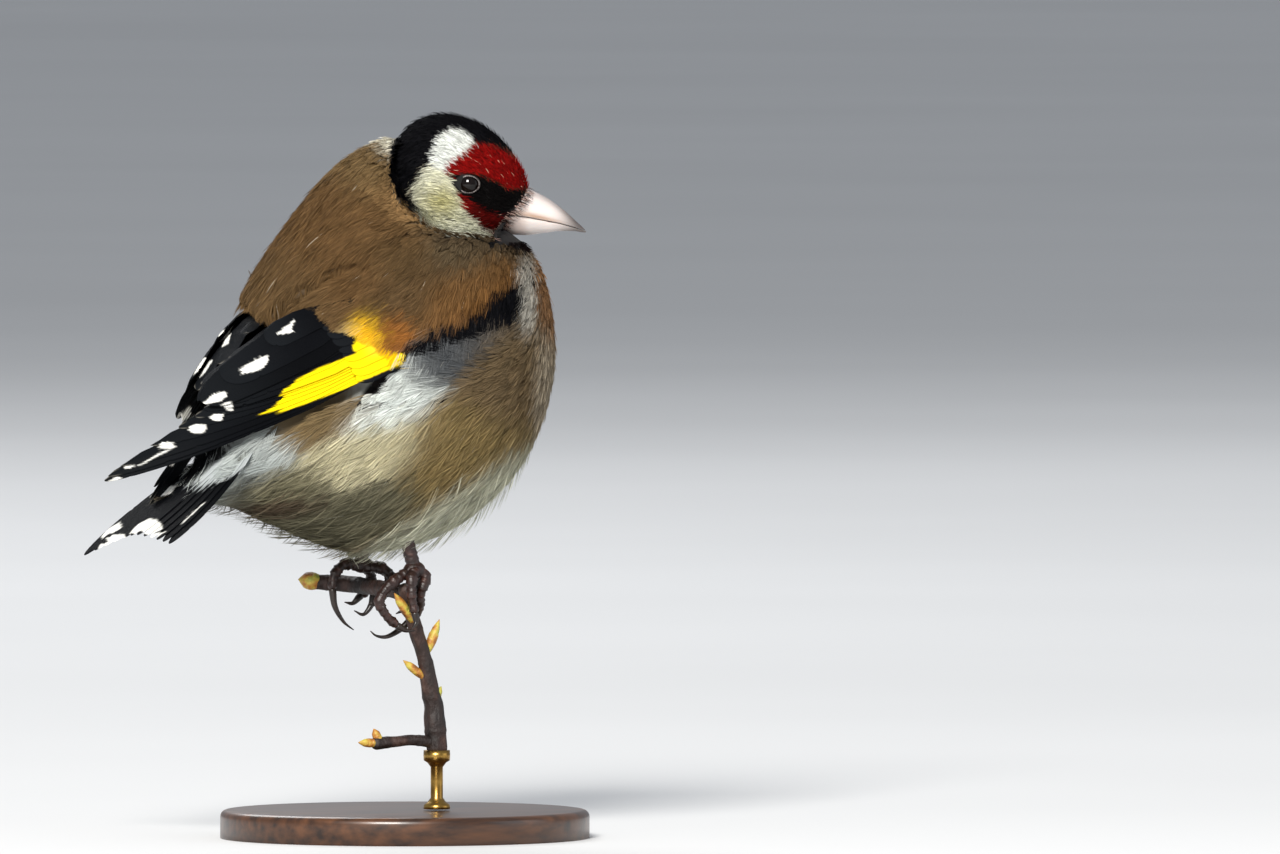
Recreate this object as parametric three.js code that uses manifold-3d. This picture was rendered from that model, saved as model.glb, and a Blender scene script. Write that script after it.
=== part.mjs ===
// A life-size still model of a European goldfinch, perched on a short cut twig that a plain display stand holds.
// Millimetres, +Z up. The origin is the middle of the base's underside. The bird's body faces +X and its right side
// is -Y, and its head is turned to its right.
import * as THREE from "three";
import { mergeVertices } from "three/addons/utils/BufferGeometryUtils.js";
import Module from "manifold-3d";

const wasm = await Module();
wasm.setup();

// Driving sizes
const GAP = 0.3;
const MERGE_DISTANCE = 1e-4;
const FAR = 200;

// Body: each section runs from the back to the belly in the plane of symmetry, and has a half width.
// The first and last entries are the poles at the tail root and inside the head.
const BODY_SECTIONS = [
  { top: [-43.5, 61.5], bottom: [-43.5, 61.5], wide: 0 },
  { top: [-40.8, 69.5], bottom: [-34.6, 60], wide: 6.5 },
  { top: [-37, 80.5], bottom: [-24, 55.7], wide: 13 },
  { top: [-32.8, 92.3], bottom: [-10, 51.5], wide: 19.5 },
  { top: [-27, 102.5], bottom: [6, 54.3], wide: 23.5 },
  { top: [-20.5, 111], bottom: [20, 65], wide: 24.5 },
  { top: [-14.6, 117.8], bottom: [26.8, 81], wide: 22 },
  { top: [-8.4, 122.8], bottom: [26.2, 98], wide: 15.4 },
  { top: [-1, 125], bottom: [20, 108.5], wide: 7 },
  { top: [9, 119], bottom: [9, 119], wide: 0 },
];
const BODY_MESH = { rows: 26, sides: 30 };

// Head, in its own frame: x towards the bill, z up, from the head's middle.
const HEAD_AT = [10, -2, 118.4];
const HEAD_TURN = THREE.MathUtils.degToRad(-28);
const HEAD_SECTIONS = [
  { top: [-12.2, 1.5], bottom: [-12.2, 1.5], wide: 0 },
  { top: [-10.2, 7], bottom: [-9.8, -5], wide: 6.4 },
  { top: [-7.5, 9.7], bottom: [-6.5, -9.5], wide: 8.4 },
  { top: [-3.2, 10.8], bottom: [-2, -11.5], wide: 9.5 },
  { top: [2, 9.8], bottom: [2.5, -12], wide: 9.2 },
  { top: [6.8, 6.8], bottom: [6.5, -11.3], wide: 7.7 },
  { top: [10, 3], bottom: [9, -10.2], wide: 5.9 },
  { top: [11.8, -0.8], bottom: [10.5, -8.6], wide: 4.3 },
  { top: [12.6, -4.8], bottom: [12.6, -4.8], wide: 0 },
];
const HEAD_MESH = { rows: 20, sides: 24 };
const HEAD_PLANE = { through: [-12.5, 5.5], facing: [0.647, 0.762] };
const NECK_LENGTH = 4.5;

// Bill, in the head's frame.
const BILL_PLANE = { through: [9.9, -6.2], facing: [0.777, -0.63] };
const BILL_SECTIONS = [
  { top: [6.8, -5.5], bottom: [6.8, -5.5], wide: 0 },
  { top: [9.5, -1.9], bottom: [8, -10], wide: 3.7 },
  { top: [12.6, -2.7], bottom: [11.3, -10.8], wide: 3.7 },
  { top: [15.4, -4], bottom: [14.6, -10.5], wide: 2.9 },
  { top: [18, -5.8], bottom: [17.5, -10.1], wide: 1.9 },
  { top: [20.5, -8], bottom: [20.3, -10.1], wide: 0.95 },
  { top: [22.6, -10.2], bottom: [22.6, -10.2], wide: 0 },
];
const BILL_MESH = { rows: 12, sides: 16 };
const BILL_SPACE = { about: [13, 0, -7], grow: 1.12 };
const GAPE_LINE = [
  [6, -6.4],
  [9.3, -6.6],
  [12.5, -7.1],
  [17.9, -8.4],
  [24, -10.4],
];
const NOSTRIL = { at: [11.6, 2.1, -4.1], radius: 0.55, length: 1.1 };

// Eyes, in the head's frame.
const EYE = { at: [1.7, 6.85, -1.5], radius: 2.45, lidRadius: 2.3, lidThickness: 0.42, lidSquash: 0.84 };
const EYE_SPLAY = THREE.MathUtils.degToRad(10);

// Wings: the lower edge from the wrist to the tip, and the way across to the upper edge, for the right wing.
const WING_STATIONS = [
  { edge: [12.5, -17, 92.5], across: [-3, 4.5, 13] },
  { edge: [-10.5, -21.5, 84.8], across: [-3.3, 6.5, 12.9] },
  { edge: [-28.4, -17, 76.6], across: [-1.5, 8, 12.2] },
  { edge: [-43.4, -6.6, 69.6], across: [-2, 5.6, 10.5] },
  { edge: [-61.4, -2.4, 63.6], across: [-2.5, 3.2, 10] },
];
const WING_BREADTH = 18.5;
const WING_BULGE = 1.4;
const WING_BED = { start: -3, across: [-0.7, 19.2], low: -GAP, deeper: 1.1, rise: 14 };
const WING_BASE = { start: -3 + GAP, across: [-0.4, 18.9], low: 0, deeper: 0, rise: 12 };
const WING_STEPS = [3, 8, 13, 18, 23, 28, 33, 38, 43, 48, 53, 58, 64, 70, 77, 86];
const WING_BASE_STEPS = 6;
const VANE_THICKNESS = 0.56;
const WINGS = {
  right: { side: -1, reach: 1, settle: 0, droop: 0, tuck: 0 },
  left: { side: 1, reach: 0.38, settle: 1.8, droop: 4.5, tuck: 2.2 },
};
const TERTIAL_END = 60;
const DROOP = { settleBy: 40, from: 48, over: 19 };

// Flight feathers from the outermost primary, the lowest layer, to the innermost tertial, the top layer.
// Each has its root and tip as [along, across] on the wing, and its width.
const PRIMARY_TIPS = [
  [84, 1.4],
  [83.2, 2.1],
  [80.6, 3.2],
  [74.2, 4.9],
  [68.2, 6.2],
  [64.6, 7],
  [62.6, 7.6],
  [61.2, 8.1],
];
const PRIMARIES = { root: [[26, 3], [28, 5.8]], width: 3.6 };
const SECONDARY_TIPS = [
  [60.6, 8.5],
  [60.4, 8.9],
  [60.6, 9.3],
];
const SECONDARIES = { root: [[28, 6.6], [29, 10]], width: 5.2 };
const TERTIALS = [
  { root: [29, 11.2], tip: [62.6, 10.3], width: 6.4 },
  { root: [30, 13.8], tip: [56.2, 12.9], width: 6.4 },
  { root: [31, 15.4], tip: [47, 15.4], width: 4.8 },
];
const LAYER_STEP = 0.24;
const COVERT_RANKS = [
  { count: 6, root: [20, 2.6, 14], tip: [35, 2.6, 14], width: 4, lift: 0.9 },
  { count: 4, root: [10, 1.8, 5.2], tip: [29, 1.6, 4.4], width: 2.8, lift: 0.45 },
];

// Tail: vanes fanned about a root inside the body, nearer (right) and farther (left) halves.
const TAIL = {
  root: [-17, 0, 84.8],
  pitch: THREE.MathUtils.degToRad(37.8),
  sweep: THREE.MathUtils.degToRad(3.8),
  start: 20,
  length: 49,
  rootSpread: 4,
  tipSpread: 14.4,
  width: 6.2,
  bow: 1.5,
  thickness: 0.56,
  layer: 0.34,
};
const TAIL_SIDES = [
  { side: -1, fork: 1.4 },
  { side: 1, fork: 4.2 },
];
const TAIL_FEATHERS_A_SIDE = 6;
const TAIL_PLANE = { through: [-34.5, 66], facing: [-0.93, -0.36] };

// Legs, feet and claws. Toe points are the middle line of each toe.
const THIGHS = {
  right: { at: [-4.4, -8.3], top: 60, bottom: 52.9, wide: 4.2, narrow: 1.8 },
  left: { at: [-4.6, 8], top: 60, bottom: 51.2, wide: 4.6, narrow: 3 },
};
const TARSUS_RADIUS = 1.25;
const PALM_RADII = [2.1, 1.7, 1.5];
const TOE_RADIUS = { base: 1.08, end: 0.78, knuckle: 0.12 };
const CLAW_RADIUS = { base: 0.66, tip: 0.13 };
const FEET = {
  right: {
    palm: [-2.5, -8.5, 48.3],
    toes: {
      outer: {
        path: [[-2.8, -9.2, 48.1], [-4, -10.4, 46.9], [-4.2, -10.6, 44.6], [-4, -10.5, 42.9], [-3.6, -10.4, 41.3]],
        claw: [[-3.4, -10.4, 40.4], [-3.3, -10.6, 38.9], [-4.3, -11, 37.8]],
      },
      middle: {
        path: [[-2.2, -8.6, 48.3], [-0.5, -8.9, 47.1], [-1.1, -8.8, 44.9], [-1.2, -8, 43.2], [-0.4, -6.2, 41], [-0.7, -5.2, 39.9]],
        claw: [[-1.2, -4.8, 39.2], [-3.6, -4.6, 37.3], [-6.4, -5, 36.2], [-8.7, -5.5, 36.5], [-10, -6, 37.3]],
      },
      inner: {
        path: [[-2.4, -7.8, 48.2], [-0.8, -5.8, 47.4], [-0.6, -4.6, 45.2], [-0.9, -4.2, 43.2]],
        claw: [[-1.1, -3.9, 42.3], [-1.8, -3.3, 41], [-3.2, -2.8, 40.2]],
      },
      hind: {
        path: [[-3, -8.6, 48.2], [-6, -9, 46.8], [-9.1, -9, 44.2], [-9.8, -9, 42.6], [-8.2, -9, 39.9], [-6.8, -9, 38.8]],
        claw: [[-6, -9, 38.2], [-4.6, -9.3, 37.5], [-3, -9.6, 37.4]],
      },
    },
  },
  left: {
    palm: [-4.4, 8, 48.6],
    toes: {
      outer: {
        path: [[-4, 8.8, 48.4], [-1.8, 10.6, 47.6], [-0.9, 11.2, 45.4], [-2.3, 11.4, 43.4]],
        claw: [[-3.1, 11.4, 42.8], [-4.6, 11.4, 41.6], [-6.2, 11.3, 41.8]],
      },
      middle: {
        path: [[-3.9, 8, 48.4], [-0.6, 7.8, 47.9], [0.9, 7.6, 46.2], [0.4, 7.6, 44.4], [-1.4, 7.8, 43.4]],
        claw: [[-2.3, 7.8, 42.9], [-2.7, 7.8, 41.4], [-4.3, 7.8, 39.7], [-6.1, 7.8, 40.4]],
      },
      inner: {
        path: [[-4, 7.4, 48.4], [-1.4, 5, 47.7], [-0.3, 4, 45.8], [-1.5, 3.9, 43.7]],
        claw: [[-2.3, 3.9, 43], [-3.5, 3.9, 41.7], [-5.1, 4, 41.6]],
      },
      hind: {
        path: [[-5, 8, 48.5], [-8, 8, 48.7], [-10, 8, 46.9], [-10.4, 8, 45]],
        claw: [[-10.4, 8, 44.1], [-9.9, 8, 41.2], [-8.1, 8, 38.4], [-6.2, 8, 37]],
      },
    },
  },
};
const TOE_MESH = { steps: 9, sides: 7 };
const CLAW_MESH = { steps: 6, sides: 7 };

// Perch: a cut twig with a side spur and buds.
const STEM = {
  path: [[3.3, -6, 14], [3.2, -6, 18], [2.9, -6, 21.1], [2.7, -6, 23.6], [1.9, -6.2, 26.2], [0.5, -6.7, 32.2], [-1.6, -7.2, 37.6], [-4, -7.8, 44.6]],
  radii: [1.8, 1.95, 1.65, 1.5, 1.25, 1.32, 1.22, 1.3],
};
const SPUR = {
  path: [[-3.7, -7.6, 43.9], [-4.2, -2, 44.5], [-4.6, 5, 44.8], [-5.6, 9, 45], [-8.6, 12.3, 45.3], [-10.6, 13.6, 45.4]],
  radii: [1.3, 1.35, 1.4, 1.45, 1.5, 1.3],
};
const SIDE_TWIG = {
  path: [[2.6, -6, 17.2], [-1.6, -6, 17.7], [-5.4, -6, 17.5], [-8.8, -6, 17.3]],
  radii: [1.1, 0.95, 0.95, 1.15],
};
const PERCH_FOOT = 16.1;
const BUDS = [
  { from: [-2.9, -8.2, 39.3], to: [-7.2, -9.7, 44.2], radius: 0.85 },
  { from: [1.2, -6.7, 33.8], to: [3.2, -7.2, 39.2], radius: 0.85 },
  { from: [0.4, -6.5, 28.9], to: [-3.7, -6.5, 32], radius: 0.75 },
  { from: [2.5, -6.2, 24.6], to: [4, -6.4, 27.2], radius: 0.8 },
  { from: [-10.1, 13.3, 45.4], to: [-13.4, 15.4, 45.9], radius: 1.6 },
  { from: [-8.4, -6, 17.3], to: [-12.6, -6.2, 17.5], radius: 0.8 },
  { from: [-8.2, -6, 17.4], to: [-9.4, -6, 19.9], radius: 0.8 },
];

// Display stand.
const BASE = { radius: 33, height: 5, edge: 1.2, sides: 48 };
const ROD = { at: [3.3, -6], radius: 1.1, cupRadius: 2.4, cupHeight: 1.8, flare: 1.2, sides: 18 };

// Shape helpers

// A closed geometry as a solid. Only its positions count, and its winding is turned where it faces in.
function solid(geometry) {
  const bare = geometry.clone();
  bare.deleteAttribute("normal");
  bare.deleteAttribute("uv");
  const merged = mergeVertices(bare, MERGE_DISTANCE);
  const triVerts = Uint32Array.from(merged.index.array);
  const make = () =>
    new wasm.Manifold(new wasm.Mesh({ numProp: 3, vertProperties: merged.attributes.position.array, triVerts }));
  const made = make();
  if (made.volume() >= 0) return made;
  for (let i = 0; i < triVerts.length; i += 3) {
    [triVerts[i + 1], triVerts[i + 2]] = [triVerts[i + 2], triVerts[i + 1]];
  }
  return make();
}

// A geometry with every vertex moved by a function of its place.
function shaped(geometry, move) {
  const position = geometry.attributes.position;
  const point = new THREE.Vector3();
  for (let i = 0; i < position.count; i++) {
    point.fromBufferAttribute(position, i);
    position.setXYZ(i, ...move(point.clone()).toArray());
  }
  return geometry;
}

function joined(solids) {
  return solids.reduce((all, next) => all.add(next));
}

// The largest closed surface of a solid: loose scraps are dropped.
function largest(made) {
  return made.decompose().reduce((best, next) => (next.volume() > best.volume() ? next : best));
}

// A smooth body between two poles, from sections given by their top, bottom and half width.
function loft(sections, { rows, sides }) {
  const last = sections.length - 1;
  const inner = sections.slice(1, last).reverse();
  const outline = new THREE.CatmullRomCurve3(
    [
      ...sections.map(({ top: [x, z] }) => new THREE.Vector3(x, 0, z)),
      ...inner.map(({ bottom: [x, z] }) => new THREE.Vector3(x, 0, z)),
    ],
    true,
    "catmullrom",
  );
  const plan = new THREE.CatmullRomCurve3(
    [
      ...sections.map(({ wide }, i) => new THREE.Vector3(i, wide, 0)),
      ...inner.map(({ wide }, i) => new THREE.Vector3(last - 1 - i, -wide, 0)),
    ],
    true,
    "catmullrom",
  );
  return solid(
    shaped(new THREE.SphereGeometry(1, sides, rows), (p) => {
      const share = Math.acos(THREE.MathUtils.clamp(p.y, -1, 1)) / Math.PI;
      const around = Math.atan2(p.z, p.x);
      const top = outline.getPoint(share / 2);
      const bottom = outline.getPoint(1 - share / 2);
      const middle = top.clone().add(bottom).multiplyScalar(0.5);
      const half = top.clone().sub(bottom).multiplyScalar(0.5 * Math.cos(around));
      const wide = Math.max(plan.getPoint(share / 2).y, 0);
      return middle.add(half).add(new THREE.Vector3(0, wide * Math.sin(around), 0));
    }),
  );
}

// A tapering tube along a curve through the given points.
function tube(points, radiusAt, { steps, sides }) {
  const curve = new THREE.CatmullRomCurve3(points.map((p) => new THREE.Vector3(...p)), false, "centripetal");
  const { normals, binormals } = curve.computeFrenetFrames(steps, false);
  return solid(
    shaped(new THREE.CylinderGeometry(1, 1, 1, sides, steps), (p) => {
      const share = p.y + 0.5;
      const i = Math.round(share * steps);
      const radius = radiusAt(share);
      return curve
        .getPointAt(share)
        .addScaledVector(normals[i], p.x * radius)
        .addScaledVector(binormals[i], p.z * radius);
    }),
  );
}

// A closed slab on a grid: at(u, v, face) gives a point of the upper face (1) or lower face (0), split alike on both.
function slab(columns, rows, at) {
  const positions = [];
  const index = [];
  const id = (i, j, face) => (face * (columns + 1) + i) * (rows + 1) + j;
  for (const face of [0, 1]) {
    for (let i = 0; i <= columns; i++) {
      for (let j = 0; j <= rows; j++) positions.push(...at(i / columns, j / rows, face).toArray());
    }
  }
  const quad = (a, b, c, d) => index.push(a, b, c, a, c, d);
  for (let i = 0; i < columns; i++) {
    for (let j = 0; j < rows; j++) {
      quad(id(i, j, 1), id(i + 1, j, 1), id(i + 1, j + 1, 1), id(i, j + 1, 1));
      index.push(id(i, j, 0), id(i + 1, j + 1, 0), id(i + 1, j, 0), id(i, j, 0), id(i, j + 1, 0), id(i + 1, j + 1, 0));
    }
    quad(id(i, 0, 0), id(i + 1, 0, 0), id(i + 1, 0, 1), id(i, 0, 1));
    quad(id(i + 1, rows, 0), id(i, rows, 0), id(i, rows, 1), id(i + 1, rows, 1));
  }
  for (let j = 0; j < rows; j++) {
    quad(id(0, j + 1, 0), id(0, j, 0), id(0, j, 1), id(0, j + 1, 1));
    quad(id(columns, j, 0), id(columns, j + 1, 0), id(columns, j + 1, 1), id(columns, j, 1));
  }
  const geometry = new THREE.BufferGeometry();
  geometry.setAttribute("position", new THREE.BufferAttribute(new Float32Array(positions), 3));
  geometry.setIndex(index);
  return solid(geometry);
}

// A feather's half width along its length, as a share of its widest.
function vaneOutline(share, pointed) {
  const grow = Math.min(1, 0.5 + share * 1.6);
  const start = pointed ? 0.62 : 0.78;
  const end = Math.max(0, (share - start) / (1 - start));
  return grow * Math.sqrt(Math.max(0.012, 1 - end ** (pointed ? 1.5 : 2.2)));
}

// A vane on a surface: place(along, across, rise) gives points of that surface and above it.
function vane(place, { root, tip, width, rise, sink = 0.5, floor = 0, bow = 0, thickness, pointed = false }) {
  const stops = [0, 0.34, 0.64, 0.84, 0.95, 1];
  return slab(stops.length - 1, 2, (u, v, face) => {
    const share = stops[Math.round(u * (stops.length - 1))];
    const reach = (v - 0.5) * width * vaneOutline(share, pointed);
    const along = THREE.MathUtils.lerp(root[0], tip[0], share);
    const across = THREE.MathUtils.lerp(root[1], tip[1], share) + 4 * bow * share * (1 - share) + reach;
    const lift = rise - sink * (1 - Math.min(1, share * 2.4));
    return place(along, across, Math.max(lift, floor) + face * thickness);
  });
}

// The part of a solid in front of a plane given in the plane of symmetry, by a point and the way that it faces.
function beyond(made, { through, facing }, offset = 0) {
  const normal = new THREE.Vector2(...facing).normalize();
  const distance = normal.dot(new THREE.Vector2(...through)) + offset;
  return made.trimByPlane([normal.x, 0, normal.y], distance);
}

function behind(made, { through, facing }, offset = 0) {
  return beyond(made, { through, facing: facing.map((f) => -f) }, -offset);
}

// Frames

const headFrame = new THREE.Matrix4()
  .makeTranslation(...HEAD_AT)
  .multiply(new THREE.Matrix4().makeRotationZ(HEAD_TURN));

function placed(made, matrix) {
  return made.transform(matrix.elements);
}

// Whole body, before it is parted

function wholeBody() {
  const torso = loft(BODY_SECTIONS, BODY_MESH);
  const thighs = Object.values(THIGHS).map(({ at: [x, y], top, bottom, wide, narrow }) =>
    tube([[x, y, top + 3], [x, y, bottom]], (share) => THREE.MathUtils.lerp(wide, narrow, share), {
      steps: 3,
      sides: 14,
    }),
  );
  return joined([torso, ...thighs]);
}

// A plane of the head's frame, as a cut on a solid in the part's frame.
function parted(made, plane, keepFront, offset) {
  const local = placed(made, headFrame.clone().invert());
  const cut = keepFront ? beyond(local, plane, offset) : behind(local, plane, offset);
  return placed(cut, headFrame);
}

// Head and bill

function eyeBall(side, radius) {
  const [x, y, z] = EYE.at;
  return solid(new THREE.SphereGeometry(radius, 14, 10).translate(x, side * y, z));
}

function lidRing(side) {
  const [x, y, z] = EYE.at;
  const outward = EYE.radius * 0.62;
  const ring = new THREE.TorusGeometry(EYE.lidRadius, EYE.lidThickness, 6, 20)
    .scale(1, EYE.lidSquash, 1)
    .rotateX(Math.PI / 2)
    .rotateZ(-side * EYE_SPLAY)
    .translate(x, side * (y + outward), z);
  return solid(ring);
}

function socketed(made) {
  return made.subtract(eyeBall(-1, EYE.radius + GAP)).subtract(eyeBall(1, EYE.radius + GAP));
}


function gapeSpace(drop) {
  const shape = new THREE.Shape([
    ...GAPE_LINE.map(([x, z]) => new THREE.Vector2(x, z - drop)),
    new THREE.Vector2(26, -30),
    new THREE.Vector2(0, -30),
  ]);
  const space = new THREE.ExtrudeGeometry(shape, { depth: 20, bevelEnabled: false, steps: 1 });
  return solid(space.translate(0, 0, -10).rotateX(Math.PI / 2));
}

function nostrilPit(side) {
  const [x, y, z] = NOSTRIL.at;
  return solid(
    new THREE.SphereGeometry(1, 8, 6)
      .scale(NOSTRIL.length, NOSTRIL.radius, NOSTRIL.radius)
      .translate(x, side * y, z),
  );
}

// The space that the bill's horn needs, a gap larger than the horn all round.
function billSpace() {
  const { about, grow } = BILL_SPACE;
  const middle = new THREE.Matrix4().makeTranslation(...about);
  const larger = middle.clone().scale(new THREE.Vector3(grow, grow, grow)).multiply(middle.clone().invert());
  return beyond(placed(loft(BILL_SECTIONS, BILL_MESH), larger), BILL_PLANE);
}

function billParts() {
  const horn = beyond(loft(BILL_SECTIONS, BILL_MESH), BILL_PLANE, GAP);
  const upper = horn.subtract(gapeSpace(0)).subtract(nostrilPit(-1)).subtract(nostrilPit(1));
  const lower = horn.intersect(gapeSpace(GAP));
  return { upper: placed(upper, headFrame), lower: placed(lower, headFrame) };
}

// Wings

// Points of a wing's sheet: millimetres along from the wrist, across from the lower edge, and above it.
function wingSheet({ side, settle, droop, tuck }) {
  const curve = (key) =>
    new THREE.CatmullRomCurve3(WING_STATIONS.map((s) => new THREE.Vector3(...s[key])), false, "catmullrom");
  const edge = curve("edge");
  const across = curve("across");
  const span = edge.getLength();
  const flat = (along, over) => {
    const inside = THREE.MathUtils.clamp(along, 0, span);
    const t = edge.getUtoTmapping(inside / span);
    const q = over / WING_BREADTH;
    const point = edge.getPoint(t).addScaledVector(edge.getTangent(t), along - inside);
    point.addScaledVector(across.getPoint(t).normalize(), over);
    point.y -= 4 * WING_BULGE * q * (1 - q);
    point.z -= settle * THREE.MathUtils.smoothstep(along, 0, DROOP.settleBy);
    point.z -= droop * Math.max(0, (along - DROOP.from) / DROOP.over);
    point.y += tuck * THREE.MathUtils.smoothstep(along, DROOP.settleBy - 10, TERTIAL_END);
    return point;
  };
  return (along, over, rise) => {
    const step = 0.5;
    const point = flat(along, over);
    const run = flat(along + step, over).sub(flat(along - step, over));
    const rung = flat(along, over + step).sub(flat(along, over - step));
    const outward = rung.cross(run).normalize();
    point.addScaledVector(outward, outward.y > 0 ? -rise : rise);
    point.y *= -side;
    return point;
  };
}

// A block over a stretch of the wing's sheet, reaching past the plumage outside it.
function sheetBlock(place, { start, across, low, deeper, rise }, steps) {
  const stops = [start, ...WING_STEPS.slice(0, steps)];
  return slab(steps, 4, (u, v, face) => {
    const along = stops[Math.round(u * steps)];
    const bottom = low - deeper * THREE.MathUtils.smoothstep(along, 24, 32);
    return place(along, THREE.MathUtils.lerp(across[0], across[1], v), face ? rise : bottom);
  });
}

// The flight feathers of a wing in order, from the lowest layer to the top one.
function flightFeathers({ reach }) {
  const inRow = (tips, { root: [first, last], width }, pointed) =>
    tips.map((tip, i) => {
      const share = i / (tips.length - 1);
      return { root: [0, 1].map((axis) => THREE.MathUtils.lerp(first[axis], last[axis], share)), tip, width, pointed };
    });
  const feathers = [
    ...inRow(PRIMARY_TIPS, PRIMARIES, true),
    ...inRow(SECONDARY_TIPS, SECONDARIES, false),
    ...TERTIALS,
  ];
  return feathers.map((feather) => {
    const [along, over] = feather.tip;
    return { ...feather, tip: [Math.min(along, TERTIAL_END + (along - TERTIAL_END) * reach), over] };
  });
}

function wingSolid(wing, whole) {
  const place = wingSheet(wing);
  const base = whole.intersect(sheetBlock(place, WING_BASE, WING_BASE_STEPS));
  const flight = flightFeathers(wing).map((feather, i) =>
    vane(place, { ...feather, rise: i * LAYER_STEP, thickness: VANE_THICKNESS }),
  );
  const coverts = COVERT_RANKS.flatMap(({ count, root, tip, width, lift }) =>
    Array.from({ length: count }, (_, i) => {
      const share = i / (count - 1);
      const over = THREE.MathUtils.lerp(tip[1], tip[2], share);
      return vane(place, {
        root: [root[0] + share * 4, THREE.MathUtils.lerp(root[1], root[2], share)],
        tip: [tip[0] + share * 2, over],
        width,
        rise: lift + (over / WING_BREADTH) * 2.9,
        thickness: VANE_THICKNESS,
      });
    }),
  );
  return largest(joined([base, ...flight, ...coverts]));
}

// Tail

// Points of the tail's sheet: millimetres along from its root, across to the left, and above it.
function tailSheet() {
  const sweep = new THREE.Matrix4().makeRotationY(-TAIL.pitch);
  sweep.multiply(new THREE.Matrix4().makeRotationZ(TAIL.sweep));
  const root = new THREE.Vector3(...TAIL.root);
  return (along, across, rise) => new THREE.Vector3(-along, across, rise).applyMatrix4(sweep).add(root);
}

function tailVane(place, { side, fork }, k) {
  const share = k / (TAIL_FEATHERS_A_SIDE - 1);
  const spread = (k + 0.5) / TAIL_FEATHERS_A_SIDE;
  return vane(place, {
    root: [TAIL.start, side * TAIL.rootSpread * spread],
    tip: [TAIL.length + fork * share ** 1.4, side * TAIL.tipSpread * spread],
    width: TAIL.width,
    rise: -k * TAIL.layer - (side > 0 ? TAIL.layer / 2 : 0),
    sink: 0,
    floor: -FAR,
    bow: side * TAIL.bow * share,
    thickness: TAIL.thickness,
    pointed: true,
  });
}

function tailSolid(base) {
  const place = tailSheet();
  const vanes = TAIL_SIDES.flatMap((half) =>
    Array.from({ length: TAIL_FEATHERS_A_SIDE }, (_, k) => tailVane(place, half, k)),
  );
  return largest(base.add(beyond(joined(vanes), TAIL_PLANE)));
}

// Legs and feet

function thighPlug({ at: [x, y], top, wide }, gap) {
  const height = top + gap;
  const plug = new THREE.CylinderGeometry(wide + gap, wide + gap, height, 20).rotateX(Math.PI / 2);
  return solid(plug.translate(x, y, height / 2));
}

function tarsusSolid(name) {
  const { at, bottom } = THIGHS[name];
  const [px, py, pz] = FEET[name].palm;
  const shank = tube([[at[0], at[1], bottom + 1], [px, py, pz]], () => TARSUS_RADIUS, { steps: 3, sides: 12 });
  const foot = pz + PALM_RADII[2] + GAP;
  return shank.trimByPlane([0, 0, 1], foot).trimByPlane([0, 0, -1], GAP - bottom);
}

function toeTube(path, index) {
  const { base, end, knuckle } = TOE_RADIUS;
  return tube(
    path,
    (share) => THREE.MathUtils.lerp(base, end, share) * (1 + knuckle * Math.cos(share * Math.PI * (6 + index))),
    TOE_MESH,
  );
}

function footSolid({ palm, toes }) {
  const ball = solid(new THREE.SphereGeometry(1, 10, 7).scale(...PALM_RADII).translate(...palm));
  return largest(joined([ball, ...Object.values(toes).map(({ path }, i) => toeTube(path, i))]));
}

function clawSolid({ claw }) {
  return tube(claw, (share) => THREE.MathUtils.lerp(CLAW_RADIUS.base, CLAW_RADIUS.tip, share), CLAW_MESH);
}

// Perch and stand

function budSolid({ from, to, radius }) {
  return tube([from, to], (share) => radius * (0.55 + 0.9 * Math.sin(Math.PI * (0.12 + 0.86 * share)) ** 0.8) * 0.7, {
    steps: 4,
    sides: 7,
  });
}

// A branch whose radius follows a list along its path.
function branch({ path, radii }, mesh) {
  const last = radii.length - 1;
  return tube(
    path,
    (share) => {
      const i = Math.min(Math.floor(share * last), last - 1);
      return THREE.MathUtils.lerp(radii[i], radii[i + 1], share * last - i);
    },
    mesh,
  );
}

function perchSolid() {
  const stem = branch(STEM, { steps: 14, sides: 10 });
  const spur = branch(SPUR, { steps: 9, sides: 9 });
  const side = branch(SIDE_TWIG, { steps: 5, sides: 7 });
  const grown = joined([stem, spur, side, ...BUDS.map(budSolid)]);
  return largest(beyond(grown, { through: [0, PERCH_FOOT], facing: [0, 1] }));
}

function baseSolid() {
  const { radius, height, edge, sides } = BASE;
  const profile = [
    [0, 0],
    [radius - 0.4, 0],
    [radius, 0.4],
    [radius, height - edge],
    [radius - edge * 0.3, height - edge * 0.3],
    [radius - edge, height],
    [0, height],
  ].map(([r, z]) => new THREE.Vector2(r, z));
  return solid(new THREE.LatheGeometry(profile, sides).rotateX(Math.PI / 2));
}

function rodSolid() {
  const low = BASE.height + GAP;
  const high = PERCH_FOOT - GAP;
  const { at, radius, cupRadius, cupHeight, flare, sides } = ROD;
  const profile = [
    [0, low],
    [cupRadius, low],
    [cupRadius, low + 0.8],
    [radius, low + 0.8 + flare],
    [radius, high - cupHeight - flare],
    [cupRadius, high - cupHeight],
    [cupRadius, high],
    [0, high],
  ].map(([r, z]) => new THREE.Vector2(r, z));
  return solid(new THREE.LatheGeometry(profile, sides).rotateX(Math.PI / 2).translate(at[0], at[1], 0));
}

// Materials

const material = (color, roughness, metalness = 0) => new THREE.MeshStandardMaterial({ color, roughness, metalness });
const MATERIALS = {
  brown: material("#8a6445", 0.9),
  face: material("#7a1210", 0.85),
  black: material("#101014", 0.6),
  horn: material("#e3d3c8", 0.45),
  eye: material("#0c0a0a", 0.08),
  leg: material("#5a3a30", 0.6),
  claw: material("#1c1716", 0.4),
  bark: material("#4b3029", 0.75),
  wood: material("#3a2417", 0.5),
  brass: material("#b08d4a", 0.3, 1),
};

// Assembly

const model = new THREE.Group();

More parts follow.
